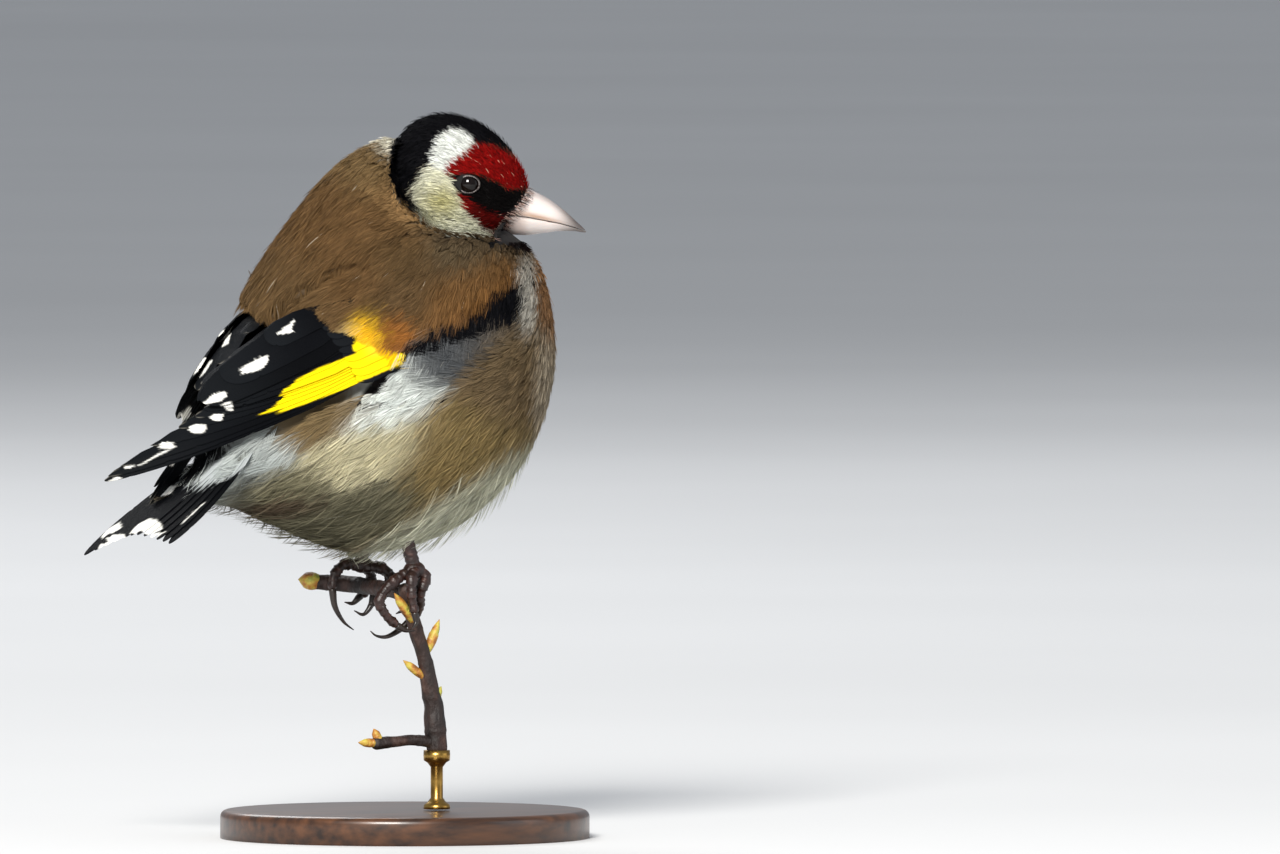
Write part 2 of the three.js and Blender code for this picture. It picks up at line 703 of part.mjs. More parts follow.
function addNode(name, made, finish) {
  const { vertProperties, triVerts } = made.getMesh();
  const geometry = new THREE.BufferGeometry();
  geometry.setAttribute("position", new THREE.BufferAttribute(new Float32Array(vertProperties), 3));
  geometry.setIndex(new THREE.BufferAttribute(triVerts, 1));
  geometry.computeVertexNormals();
  const mesh = new THREE.Mesh(geometry, MATERIALS[finish]);
  mesh.name = name;
  model.add(mesh);
}

const body = wholeBody();
const skull = behind(loft(HEAD_SECTIONS, HEAD_MESH), BILL_PLANE);
const plumage = body.add(placed(skull, headFrame)).subtract(placed(billSpace(), headFrame));

const mask = placed(parted(plumage, HEAD_PLANE, true, 0), headFrame.clone().invert());
const face = socketed(joined([mask, lidRing(-1), lidRing(1)]));
addNode("head", largest(placed(face, headFrame)), "face");

const bill = billParts();
addNode("bill_upper", largest(bill.upper), "horn");
addNode("bill_lower", largest(bill.lower), "horn");
for (const [name, side] of [["right", -1], ["left", 1]]) {
  addNode(`eye_${name}`, placed(eyeBall(side, EYE.radius), headFrame), "eye");
}

const below = parted(plumage, HEAD_PLANE, false, -GAP);
const neck = parted(below, HEAD_PLANE, true, -NECK_LENGTH);
addNode("neck", largest(neck), "brown");

let torso = parted(below, HEAD_PLANE, false, -NECK_LENGTH - GAP);
const tailBase = beyond(torso, TAIL_PLANE);
torso = behind(torso, TAIL_PLANE, -GAP);
for (const [name, wing] of Object.entries(WINGS)) {
  const bed = sheetBlock(wingSheet(wing), WING_BED, WING_STEPS.length);
  addNode(`wing_${name}`, wingSolid(wing, torso), "black");
  torso = torso.subtract(bed);
}
for (const [name, thigh] of Object.entries(THIGHS)) {
  addNode(`thigh_${name}`, largest(torso.intersect(thighPlug(thigh, 0))), "brown");
  torso = torso.subtract(thighPlug(thigh, GAP));
  addNode(`tarsus_${name}`, tarsusSolid(name), "leg");
  addNode(`foot_${name}`, footSolid(FEET[name]), "leg");
  for (const [toe, spec] of Object.entries(FEET[name].toes)) addNode(`claw_${name}_${toe}`, clawSolid(spec), "claw");
}
addNode("torso", largest(torso), "brown");

const tailBeds = Object.values(WINGS).map((wing) => sheetBlock(wingSheet(wing), WING_BED, WING_STEPS.length));
addNode("tail", tailSolid(largest(tailBeds.reduce((left, bed) => left.subtract(bed), tailBase))), "black");

addNode("perch", perchSolid(), "bark");
addNode("stand_rod", rodSolid(), "brass");
addNode("stand_base", baseSolid(), "wood");

export default model;
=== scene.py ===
"""A life-size European goldfinch gripping a cut twig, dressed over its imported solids."""
import logging
import math
from dataclasses import dataclass, field
from enum import Enum
from functools import cached_property
from itertools import product
from typing import Callable, Sequence

import bmesh
import bpy
import numpy as np
from mathutils import Matrix, Vector
from mathutils.bvhtree import BVHTree


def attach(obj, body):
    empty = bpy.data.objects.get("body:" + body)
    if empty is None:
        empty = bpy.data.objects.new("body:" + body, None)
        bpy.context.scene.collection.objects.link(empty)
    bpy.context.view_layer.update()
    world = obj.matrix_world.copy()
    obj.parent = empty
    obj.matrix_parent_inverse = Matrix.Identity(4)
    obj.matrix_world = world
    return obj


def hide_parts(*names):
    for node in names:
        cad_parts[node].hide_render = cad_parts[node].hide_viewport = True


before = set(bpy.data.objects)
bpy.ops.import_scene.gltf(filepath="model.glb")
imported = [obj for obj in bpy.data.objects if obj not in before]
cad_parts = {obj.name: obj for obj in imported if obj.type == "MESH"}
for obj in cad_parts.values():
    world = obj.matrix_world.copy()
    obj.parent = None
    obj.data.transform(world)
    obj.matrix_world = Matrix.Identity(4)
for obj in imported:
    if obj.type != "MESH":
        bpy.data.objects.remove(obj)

log = logging.getLogger("goldfinch")
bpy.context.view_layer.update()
MM = 0.001
Array = np.ndarray
Triple = tuple[float, float, float]
Pair = tuple[float, float]
Relief = Callable[[Array, Array], Array]
Form = bmesh.types.BMesh
Piece = bpy.types.Object
Nodes = bpy.types.NodeTree
Socket = bpy.types.NodeSocket


def tone(code: str) -> Triple:
    """Linear colour of a six-digit code."""
    parts = [int(code[i : i + 2], 16) / 255 for i in (0, 2, 4)]
    return tuple(p / 12.92 if p <= 0.04045 else ((p + 0.055) / 1.055) ** 2.4 for p in parts)


def ease(value: Array, low: float, high: float) -> Array:
    """Smooth step from 0 at low to 1 at high."""
    share = np.clip((np.asarray(value, float) - low) / (high - low), 0, 1)
    return share * share * (3 - 2 * share)


def within(values: Array, low: float, high: float) -> Array:
    """Which of the values lie between two others."""
    return (values > low) & (values < high)


def unit(vectors: Array) -> Array:
    """Vectors scaled to length one."""
    return vectors / np.maximum(np.linalg.norm(vectors, axis=-1, keepdims=True), 1e-9)


def mixed(first: Array, second: Array | Triple, share: Array | float) -> Array:
    """Blend of two sets of rows by a share for each row."""
    share = np.asarray(share)[..., None]
    return first * (1 - share) + np.asarray(second) * share


def grid(first: Array, second: Array) -> tuple[Array, Array]:
    """All pairs of two rows of values, the second running faster."""
    first, second = np.meshgrid(first, second, indexing="ij")
    return first.ravel(), second.ravel()


def between(first: Sequence, last: Sequence, share: float) -> tuple:
    """A place on the way from one place to another."""
    return tuple(a + (b - a) * share for a, b in zip(first, last))


def spline(points: Sequence, share: Array, closed: bool = False, power: float = 0.0) -> Array:
    """Points of a Catmull-Rom spline.

    Args:
        points: Knots, one row each.
        share: Places along it, from 0 to 1.
        closed: Whether the last knot joins the first.
        power: 0 for even knots, 0.5 for knots spaced by the root of their distance.

    Returns:
        One row for each share.
    """
    knots, share = np.asarray(points, float), np.asarray(share, float)
    count = len(knots)
    if closed:
        place = share * count
        first = np.floor(place).astype(int)
        a, b, c, d = (knots[(first + k) % count] for k in (-1, 0, 1, 2))
    else:
        place = share * (count - 1)
        first = np.clip(np.floor(place), 0, count - 2).astype(int)
        padded = np.vstack([2 * knots[0] - knots[1], knots, 2 * knots[-1] - knots[-2]])
        a, b, c, d = (padded[first + k] for k in range(4))
    u, v, w = (
        np.maximum(np.linalg.norm(q - p, axis=-1, keepdims=True), 1e-6) ** power
        for p, q in ((a, b), (b, c), (c, d))
    )
    start = ((b - a) / u - (c - a) / (u + v) + (c - b) / v) * v
    end = ((c - b) / v - (d - b) / (v + w) + (d - c) / w) * v
    t = (place - first)[..., None]
    return b + start * t + (3 * (c - b) - 2 * start - end) * t**2 + (2 * (b - c) + start + end) * t**3


def even_path(points: Sequence, count: int) -> Array:
    """A spline's points at even distances along it.

    Args:
        points: Knots, one row each.
        count: How many points to give.

    Returns:
        The points, from the first knot to the last.
    """
    fine = spline(points, np.linspace(0, 1, 400), power=0.5)
    run = np.concatenate([[0], np.cumsum(np.linalg.norm(np.diff(fine, axis=0), axis=1))])
    return columns_at(np.linspace(0, run[-1], count), run, fine)


def columns_at(where: Array, knots: Array, rows: Array) -> Array:
    """Rows of a table, interpolated at the given places."""
    return np.stack([np.interp(where, knots, rows[:, k]) for k in range(rows.shape[1])], axis=-1)


# Meshes


def write_tones(mesh: bpy.types.Mesh, shades: Array) -> None:
    """Keep a linear colour for each vertex as the mesh's own attribute."""
    colour = mesh.color_attributes.new("tone", "FLOAT_COLOR", "POINT")
    colour.data.foreach_set("color", np.column_stack([shades, np.ones(len(shades))]).ravel())


@dataclass
class Growing:
    """Many small shapes that are joined into one mesh."""

    points: list[Array] = field(default_factory=list)
    faces: list[Array] = field(default_factory=list)
    tones: list[Array] = field(default_factory=list)
    grains: list[Array] = field(default_factory=list)
    charts: list[Array] = field(default_factory=list)
    count: int = 0

    def add(self, points: Array, faces: Array, tones: Array, grain: Array,
            chart: Array | None = None) -> None:
        """Add a shape.

        Args:
            points: Places in millimetres.
            faces: Rows of four corners, with -1 as the last of a triangle.
            tones: A linear colour for each point.
            grain: Millimetres across and along the feather, and a random number, for each point.
            chart: A place on the bake map for each point.
        """
        self.points.append(points)
        self.faces.append(np.where(faces < 0, -1, faces + self.count))
        self.tones.append(tones)
        self.grains.append(grain)
        self.charts.append(np.zeros((len(points), 2)) if chart is None else chart)
        self.count += len(points)

    def built(self, name: str, charted: bool = False) -> Piece:
        """The joined mesh as an object.

        Args:
            name: The piece's name.
            charted: Whether it gets the bake map.

        Returns:
            The object, at the origin.
        """
        points, faces = np.concatenate(self.points) * MM, np.concatenate(self.faces)
        mesh = bpy.data.meshes.new(name)
        corners = faces.ravel()
        corners = corners[corners >= 0]
        sizes = (faces >= 0).sum(axis=1)
        starts = np.concatenate([[0], np.cumsum(sizes)[:-1]])
        mesh.vertices.add(len(points))
        mesh.vertices.foreach_set("co", points.ravel())
        mesh.loops.add(len(corners))
        mesh.loops.foreach_set("vertex_index", corners.astype(np.int32))
        mesh.polygons.add(len(faces))
        mesh.polygons.foreach_set("loop_start", starts.astype(np.int32))
        mesh.polygons.foreach_set("use_smooth", np.ones(len(faces), bool))
        mesh.update(calc_edges=True)
        write_tones(mesh, np.concatenate(self.tones))
        grain = mesh.attributes.new("grain", "FLOAT_VECTOR", "POINT")
        grain.data.foreach_set("vector", np.concatenate(self.grains).ravel())
        if charted:
            layer = mesh.uv_layers.new(name="OFBake")
            layer.data.foreach_set("uv", np.concatenate(self.charts)[corners].ravel())
        mesh.validate()
        return placed_object(name, mesh)


def placed_object(name: str, mesh: bpy.types.Mesh) -> Piece:
    """A mesh as an object of the scene, at the origin."""
    made = bpy.data.objects.new(name, mesh)
    bpy.context.scene.collection.objects.link(made)
    return made


def finished(bm: Form, name: str, smooth: bool = True) -> Piece:
    """A bmesh in millimetres as an object in metres.

    Args:
        bm: The shape, which is freed.
        name: The piece's name.
        smooth: Whether its faces are shaded smooth.

    Returns:
        The object, at the origin.
    """
    bmesh.ops.scale(bm, vec=(MM, MM, MM), verts=bm.verts)
    bmesh.ops.recalc_face_normals(bm, faces=bm.faces)
    for face in bm.faces:
        face.smooth = smooth
    mesh = bpy.data.meshes.new(name)
    bm.to_mesh(mesh)
    bm.free()
    return placed_object(name, mesh)


def joined_mesh(parts: Sequence[Form], name: str) -> Piece:
    """Several closed shapes in millimetres as one object."""
    loose, whole = bpy.data.meshes.new("part"), bmesh.new()
    for part in parts:
        part.to_mesh(loose)
        whole.from_mesh(loose)
        part.free()
    bpy.data.meshes.remove(loose)
    return finished(whole, name)


def kept(piece: Piece, finish: "Finish", slot: str, *nodes: str) -> Piece:
    """Dress a piece, hang it on the body and hide the solids that it replaces.

    Args:
        piece: The finished object.
        finish: What it is dressed in.
        slot: Not used.
        nodes: The solids that it replaces.

    Returns:
        The same object.
    """
    piece.data.materials.clear()
    piece.data.materials.append(finish.material())
    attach(piece, "root")
    if nodes:
        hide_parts(*nodes)
    log.info("%s: %d faces", piece.name, len(piece.data.polygons))
    return piece


def reshaped(bm: Form, move: Callable[[Array], Array]) -> Form:
    """Move every vertex of a shape by a function of all their places."""
    places = move(np.array([v.co for v in bm.verts]))
    for vert, place in zip(bm.verts, places):
        vert.co = place
    return bm


def wrapped(rings: int, sides: int, place: Relief) -> Form:
    """A closed round form, wrapped from a flat grid.

    Args:
        rings: How many rings it has from end to end.
        sides: How many sides each ring has.
        place: Points from the number of the ring and the angle round.

    Returns:
        The form in millimetres, with its ends filled.
    """
    bm = bmesh.new()
    bmesh.ops.create_grid(bm, x_segments=sides, y_segments=rings - 1, size=0.5)

    def wrap(flat: Array) -> Array:
        """Places on the form of the flat grid's vertices."""
        ring = np.rint((flat[:, 1] + 0.5) * (rings - 1)).astype(int)
        return place(ring, np.rint((flat[:, 0] + 0.5) * sides) % sides * (math.tau / sides))

    reshaped(bm, wrap)
    bmesh.ops.remove_doubles(bm, verts=bm.verts, dist=1e-6)
    bmesh.ops.holes_fill(bm, edges=bm.edges, sides=0)
    return bm


def swept(path: Array, radii: Array, sides: int, relief: Relief | None = None) -> Form:
    """A closed tube with domed ends along a path.

    Args:
        path: Points in millimetres.
        radii: The radius at each point.
        sides: How many sides the tube has.
        relief: A factor on the radius from the millimetres along and the angle round.

    Returns:
        The tube, in millimetres.
    """
    path, radii = np.asarray(path, float), np.asarray(radii, float)
    run = unit(np.gradient(path, axis=0))
    domes = np.radians([8, 30, 55, 76])
    head = path[0] - run[0] * radii[0] * np.cos(domes)[:, None]
    foot = path[-1] + run[-1] * radii[-1] * np.cos(domes[::-1])[:, None]
    length = np.concatenate([[0], np.cumsum(np.linalg.norm(np.diff(path, axis=0), axis=1))])
    along = np.concatenate([np.zeros(4), length, np.full(4, length[-1])])
    radii = np.concatenate([radii[0] * np.sin(domes), radii, radii[-1] * np.sin(domes[::-1])])
    path = np.vstack([head, path, foot])
    run = np.vstack([np.repeat(run[:1], 4, axis=0), run, np.repeat(run[-1:], 4, axis=0)])
    across = [np.cross((0.31, 0.17, 0.93), run[0])]
    for way in run[1:]:
        across.append(across[-1] - way * np.dot(across[-1], way))
    across = unit(np.array(across))
    side = np.cross(run, across)

    def place(ring: Array, angle: Array) -> Array:
        """Points of the tube."""
        reach = radii[ring] * (1 if relief is None else relief(along[ring], angle))
        turn = np.cos(angle)[:, None] * across[ring] + np.sin(angle)[:, None] * side[ring]
        return path[ring] + turn * reach[:, None]

    return wrapped(len(path), sides, place)


# Body forms, in millimetres


@dataclass(frozen=True)
class Loft:
    """A smooth form between two poles, from sections with a top, a bottom and a half width."""

    sections: tuple

    @cached_property
    def lines(self) -> tuple[Array, Array]:
        """Places from pole to pole, and there the top's and bottom's points and the half width."""
        tops = [(x, 0, z) for (x, z), _, _ in self.sections]
        bottoms = [(x, 0, z) for _, (x, z), _ in self.sections[1:-1]][::-1]
        last = len(self.sections) - 1
        plan = [(i, wide, 0) for i, (_, _, wide) in enumerate(self.sections)]
        plan += [(i, -wide, 0) for i, wide, _ in plan[1:last]][::-1]
        share = np.linspace(0, 1, 601)
        top = spline(tops + bottoms, share / 2, closed=True)
        bottom = spline(tops + bottoms, 1 - share / 2, closed=True)
        wide = np.maximum(spline(plan, share / 2, closed=True)[:, 1], 0)
        return share, np.column_stack([top, bottom, wide])

    def at(self, share: Array, around: Array) -> Array:
        """Points of the surface.

        Args:
            share: From 0 at the hind pole to 1 at the fore pole.
            around: Angle from the back, positive to the left.

        Returns:
            One row for each place.
        """
        rows = columns_at(share, *self.lines)
        top, bottom, wide = rows[..., :3], rows[..., 3:6], rows[..., 6]
        points = (top + bottom) / 2 + (top - bottom) / 2 * np.cos(around)[..., None]
        points[..., 1] += wide * np.sin(around)
        return points

    def shell(self, rows: int, sides: int) -> Form:
        """The closed surface, in millimetres."""
        bm = bmesh.new()
        bmesh.ops.create_uvsphere(bm, u_segments=sides, v_segments=rows, radius=1)
        return reshaped(
            bm,
            lambda p: self.at(1 - np.arccos(np.clip(p[:, 2], -1, 1)) / np.pi, np.arctan2(p[:, 1], p[:, 0])),
        )


BODY = Loft(
    (
        ((-43.5, 61.5), (-43.5, 61.5), 0),
        ((-40.8, 69.5), (-34.6, 60), 6.5),
        ((-37, 80.5), (-24, 55.7), 13),
        ((-32.8, 92.3), (-10, 51.5), 19.5),
        ((-27, 102.5), (6, 54.3), 23.5),
        ((-20.5, 111), (20, 65), 24.5),
        ((-14.6, 117.8), (26.8, 81), 22),
        ((-8.4, 122.8), (26.2, 98), 15.4),
        ((-1, 125), (20, 108.5), 7),
        ((9, 119), (9, 119), 0),
    )
)
SKULL = Loft(
    (
        ((-12.2, 1.5), (-12.2, 1.5), 0),
        ((-10.2, 7), (-9.8, -5), 6.4),
        ((-7.5, 9.7), (-6.5, -9.5), 8.4),
        ((-3.2, 10.8), (-2, -11.5), 9.5),
        ((2, 9.8), (2.5, -12), 9.2),
        ((6.8, 6.8), (6.5, -11.3), 7.7),
        ((10, 3), (9, -10.2), 5.9),
        ((11.8, -0.8), (10.5, -8.6), 4.3),
        ((12.6, -4.8), (12.6, -4.8), 0),
    )
)


class HeadFrame:
    """The head's own frame: x towards the bill, y to the left, z up, from the head's middle."""

    MIDDLE = np.array([10, -2, 118.4])
    TURN = math.radians(-28)
    AXES = np.array([[math.cos(TURN), math.sin(TURN), 0], [-math.sin(TURN), math.cos(TURN), 0], [0, 0, 1]])

    @classmethod
    def placed(cls, points: Array) -> Array:
        """Points of the head's frame in the part's frame."""
        return np.asarray(points, float) @ cls.AXES + cls.MIDDLE

    @classmethod
    def turned(cls, vectors: Array) -> Array:
        """Directions of the head's frame in the part's frame."""
        return np.asarray(vectors, float) @ cls.AXES

    @classmethod
    def local(cls, points: Array) -> Array:
        """Points of the part's frame in the head's frame."""
        return (points - cls.MIDDLE) @ cls.AXES.T


class Face:
    """Where the eye, the bill's base and the collar's edge lie in the head's frame."""

    EYE = (1.7, 6.85, -1.5)
    OPENING = (2.15, 1.8)
    BILL_PLANE = (np.array((0.777, 0, -0.63)), 11.75)
    COLLAR = ((-13.2, 9), (-12.6, 4.5), (-12.2, -0.2), (-11.2, -4.5), (-7, -7), (-5.2, -8.9), (-1.9, -9.8),
              (2.7, -10.1), (6.1, -10.7), (8.4, -11.5), (11.2, -13.2), (14, -15))

    @classmethod
    def above_collar(cls, local: Array) -> Array:
        """How far inside the collar's edge a place lies in the head's side view."""
        return inside_by(local[:, [0, 2]], (*cls.COLLAR, (40, -30), (40, 40), (-13.2, 40)))

    @classmethod
    def eye_share(cls, local: Array) -> Array:
        """Distance from the eye's middle in the side view, as a share of its opening."""
        across = (local[:, 0] - cls.EYE[0]) / cls.OPENING[0]
        return np.hypot(across, (local[:, 2] - cls.EYE[2]) / cls.OPENING[1])

    @classmethod
    def head_share(cls, local: Array) -> Array:
        """How much a place belongs to the head, from 0 to 1."""
        return ease(cls.above_collar(local), -0.6, 0.6)

    @classmethod
    def past_bill(cls, local: Array) -> Array:
        """How far in front of the bill's base plane a place lies."""
        facing, reach = cls.BILL_PLANE
        return local @ facing - reach

    @classmethod
    def cleared(cls, points: Array) -> Array:
        """Points of the part's frame moved out of the eyes' openings."""
        local = HeadFrame.local(points)
        share = np.maximum(cls.eye_share(local), 0.05)
        push = np.where(share < 1.0, 1.0 / share, 1.0)
        for axis in (0, 2):
            local[:, axis] = cls.EYE[axis] + (local[:, axis] - cls.EYE[axis]) * push
        return HeadFrame.placed(local)


SIDE_VIEW = (0.883, 0.469)
SPINE = np.array((-0.674, 0, -0.738))
NECK_TOP = np.array((9, 0, 119))


def side_view(points: Array) -> Array:
    """Places seen from off the flank: millimetres across and up, alike on both sides."""
    across = SIDE_VIEW[0] * points[:, 0] + SIDE_VIEW[1] * np.abs(points[:, 1])
    return np.column_stack([across, points[:, 2]])


def side_vectors(points: Array, ways: Array) -> Array:
    """Directions across and up in the side view, in the part's frame, mirrored on the left side."""
    side = np.where(points[:, 1] < 0, -1.0, 1.0)
    return np.column_stack([SIDE_VIEW[0] * ways[:, 0], SIDE_VIEW[1] * side * ways[:, 0], ways[:, 1]])


def forwardness(points: Array, mirrored: bool) -> Array:
    """How far forward places lie, seen half from behind: from the left only, or alike on both sides."""
    over = np.abs(points[:, 1]) if mirrored else points[:, 1]
    return SIDE_VIEW[0] * points[:, 0] - SIDE_VIEW[1] * over


def down_spine(points: Array) -> Array:
    """Millimetres from the neck's top towards the tail."""
    return (points - NECK_TOP) @ SPINE


THIGHS = {
    "right": {"at": (-4.4, -8.3), "bottom": 52.9, "wide": 4.2, "narrow": 1.8},
    "left": {"at": (-4.6, 8.0), "bottom": 51.2, "wide": 4.6, "narrow": 3.0},
}


@dataclass
class Hull:
    """The plumage's outer surface on body, head and thighs as one smooth mesh, and the skin inside it."""

    voxel: float = 0.55
    smoothing: int = 9
    body_depth: float = 1.25
    head_depth: float = 0.6
    bill_low: float = -11.6
    rump: tuple = ((66, -60), (74, -40), (80, -32), (86, -27), (90, -25), (94, -26), (97, -30), (99, -60))

    def build(self, wings: Sequence["Wing"]) -> None:
        """Join the forms into one surface and keep it for the feathers to lie on.

        Args:
            wings: The wings, whose sheets the surface is pressed in under.
        """
        head = SKULL.shell(60, 72)
        reshaped(head, HeadFrame.placed)
        parts = [BODY.shell(90, 110), head]
        for thigh in THIGHS.values():
            x, y = thigh["at"]
            path = np.array([(x, y, 63), (x, y, 58), (x, y, thigh["bottom"] + thigh["narrow"] * 0.6)])
            parts.append(swept(even_path(path, 8), np.linspace(thigh["wide"], thigh["narrow"], 8), 20))
        made = joined_mesh(parts, "forms")
        one = made.modifiers.new("one", "REMESH")
        one.mode = "VOXEL"
        one.voxel_size = self.voxel * MM
        soft = made.modifiers.new("soft", "SMOOTH")
        soft.factor = 0.5
        soft.iterations = self.smoothing
        graph = bpy.context.evaluated_depsgraph_get()
        self.mesh = bpy.data.meshes.new_from_object(made.evaluated_get(graph))
        bpy.data.objects.remove(made)
        self.write(self.mesh, self.collared(self.read(self.mesh, "co") / MM))
        self.outer, self.outward = (self.read(self.mesh, key) for key in ("co", "normal"))
        self.outer /= MM
        self.tree = BVHTree.FromPolygons(self.outer.tolist(), [tuple(p.vertices) for p in self.mesh.polygons])
        self.under = self.outer
        for wing in wings:
            self.under = self.press(self.under, wing)
        self.pressed = np.linalg.norm(self.under - self.outer, axis=1)
        self.write(self.mesh, self.under)

    def collared(self, points: Array) -> Array:
        """Points moved in to the head's form above the collar, to the bill's base, and off the rump."""
        shell = SKULL.shell(60, 72)
        skull = BVHTree.FromBMesh(shell)
        shell.free()
        local = HeadFrame.local(points)
        above = ease(Face.above_collar(local), -0.5, 1.5)
        for i in np.nonzero(above)[0]:
            side = math.copysign(1, local[i, 1])
            hit = skull.ray_cast(Vector((local[i, 0], side * 40, local[i, 2])), Vector((0, -side, 0)), 40)[0]
            if hit is not None and abs(local[i, 1]) > abs(hit.y):
                local[i, 1] += (hit.y - local[i, 1]) * above[i]
        facing = Face.BILL_PLANE[0]
        ahead = np.maximum(Face.past_bill(local), 0) * (local[:, 2] > self.bill_low)
        points = HeadFrame.placed(local - ahead[:, None] * facing)
        hollow = np.interp(points[:, 2], *zip(*self.rump)) - forwardness(points, False)
        points[:, 0] += np.maximum(hollow, 0) / SIDE_VIEW[0]
        return points

    @staticmethod
    def read(mesh: bpy.types.Mesh, key: str) -> Array:
        """A vector of each vertex of a mesh."""
        values = np.empty(len(mesh.vertices) * 3, np.float32)
        mesh.vertices.foreach_get(key, values)
        return values.reshape(-1, 3).astype(float)

    @staticmethod
    def write(mesh: bpy.types.Mesh, points: Array) -> None:
        """Move a mesh's vertices, in millimetres."""
        mesh.vertices.foreach_set("co", (points * MM).astype(np.float32).ravel())
        mesh.update()

    def press(self, points: Array, wing: "Wing") -> Array:
        """Points moved in under a wing's free feathers, where they lie outside its sheet."""
        long, wide, start = 97, 33, 26
        along, over = grid(np.linspace(start, 90, long), np.linspace(-0.9, 19.4, wide))
        sheet = wing.place(along, over, np.zeros(along.size))
        outward = wing.place(along, over, np.ones(along.size)) - sheet
        rows = np.arange((long - 1) * wide).reshape(-1, wide)[:, :-1].ravel()
        faces = np.column_stack([rows, rows + 1, rows + wide + 1, rows + wide])
        tree = BVHTree.FromPolygons(sheet.tolist(), faces.tolist())
        moved = points.copy()
        for i, point in enumerate(points):
            near, _, face, far = tree.find_nearest(Vector(point), 15)
            if near is None:
                continue
            corner = faces[face][0]
            rise = (point - near) @ outward[corner]
            share = ease(along[corner], start, 31)
            low = -0.4 - 1.1 * share
            if rise > low and far < abs(rise) + 0.35:
                moved[i] = point - outward[corner] * (rise - low) * min(1, 0.25 + share)
        return moved

    def nearest(self, points: Array) -> tuple[Array, Array]:
        """The surface's nearest points and their normals."""
        found = [self.tree.find_nearest(p) for p in points.tolist()]
        return np.array([f[0] for f in found]), np.array([f[1] for f in found])

    def depth(self, points: Array) -> Array:
        """How deep the skin lies under the plumage's outer surface."""
        forward = HeadFrame.local(points)
        share = ease(Face.above_collar(forward), -3, 1)
        near_bill = ease(forward[:, 0], 7, 11)
        return (self.body_depth * (1 - share) + self.head_depth * share) * (1 - 0.5 * near_bill * share)

    def skin(self, plumage: "Plumage") -> Piece:
        """The bare skin inside the plumage, as one piece that stands for the body's solids.

        Args:
            plumage: The markings, which tint the skin too.

        Returns:
            The skin.
        """
        mesh = self.mesh.copy()
        mesh.name = "skin"
        inner = self.under - self.outward * self.depth(self.outer)[:, None]
        self.write(mesh, inner)
        mesh.shade_smooth()
        # Painted shade: the skin takes the plumage's colours at 0.45, so it reads dark where it shows between
        # the feathers.
        shades = plumage.tones(self.outer, np.random.default_rng(3), 0.1) * 0.45
        # Painted shade: the skin on the flat pressed in at the bill's base is tinted near black.
        hollow = ease(Face.past_bill(HeadFrame.local(self.outer)), -0.9, -0.3)
        write_tones(mesh, mixed(shades, tone("0a0505"), hollow))
        solids = ("torso", "neck", "head", "thigh_right", "thigh_left")
        return kept(placed_object("skin", mesh), SkinFinish(), "plumage", *solids)


# Markings and lie of the plumage


def inside_by(points: Array, outline: Sequence) -> Array:
    """Signed distance to a closed outline in the plane, positive inside.

    Args:
        points: Places in the plane.
        outline: The corners in order.

    Returns:
        One distance for each place.
    """
    corners = np.asarray(outline, float)
    nearest = np.full(len(points), np.inf)
    inside = np.zeros(len(points), bool)
    for a, b in zip(corners, np.roll(corners, -1, axis=0)):
        edge, away = b - a, points - a
        share = np.clip(away @ edge / (edge @ edge), 0, 1)
        nearest = np.minimum(nearest, np.linalg.norm(away - share[:, None] * edge, axis=1))
        crosses = (a[1] > points[:, 1]) != (b[1] > points[:, 1])
        reach = a[0] + (points[:, 1] - a[1]) * (b[0] - a[0]) / (b[1] - a[1] if b[1] != a[1] else 1e-9)
        inside ^= crosses & (points[:, 0] < reach)
    return np.where(inside, nearest, -nearest)


@dataclass(frozen=True)
class Patch:
    """A soft patch of the side view: its middle, half sizes, slope in degrees and what it gives there."""

    at: Pair
    size: Pair
    slope: float
    gives: tuple

    def weight(self, side: Array) -> Array:
        """How strongly the patch counts at places of the side view."""
        turn = math.radians(self.slope)
        across, up = side[:, 0] - self.at[0], side[:, 1] - self.at[1]
        long = (across * math.cos(turn) + up * math.sin(turn)) / self.size[0]
        high = (up * math.cos(turn) - across * math.sin(turn)) / self.size[1]
        return np.exp(-(long**2 + high**2))


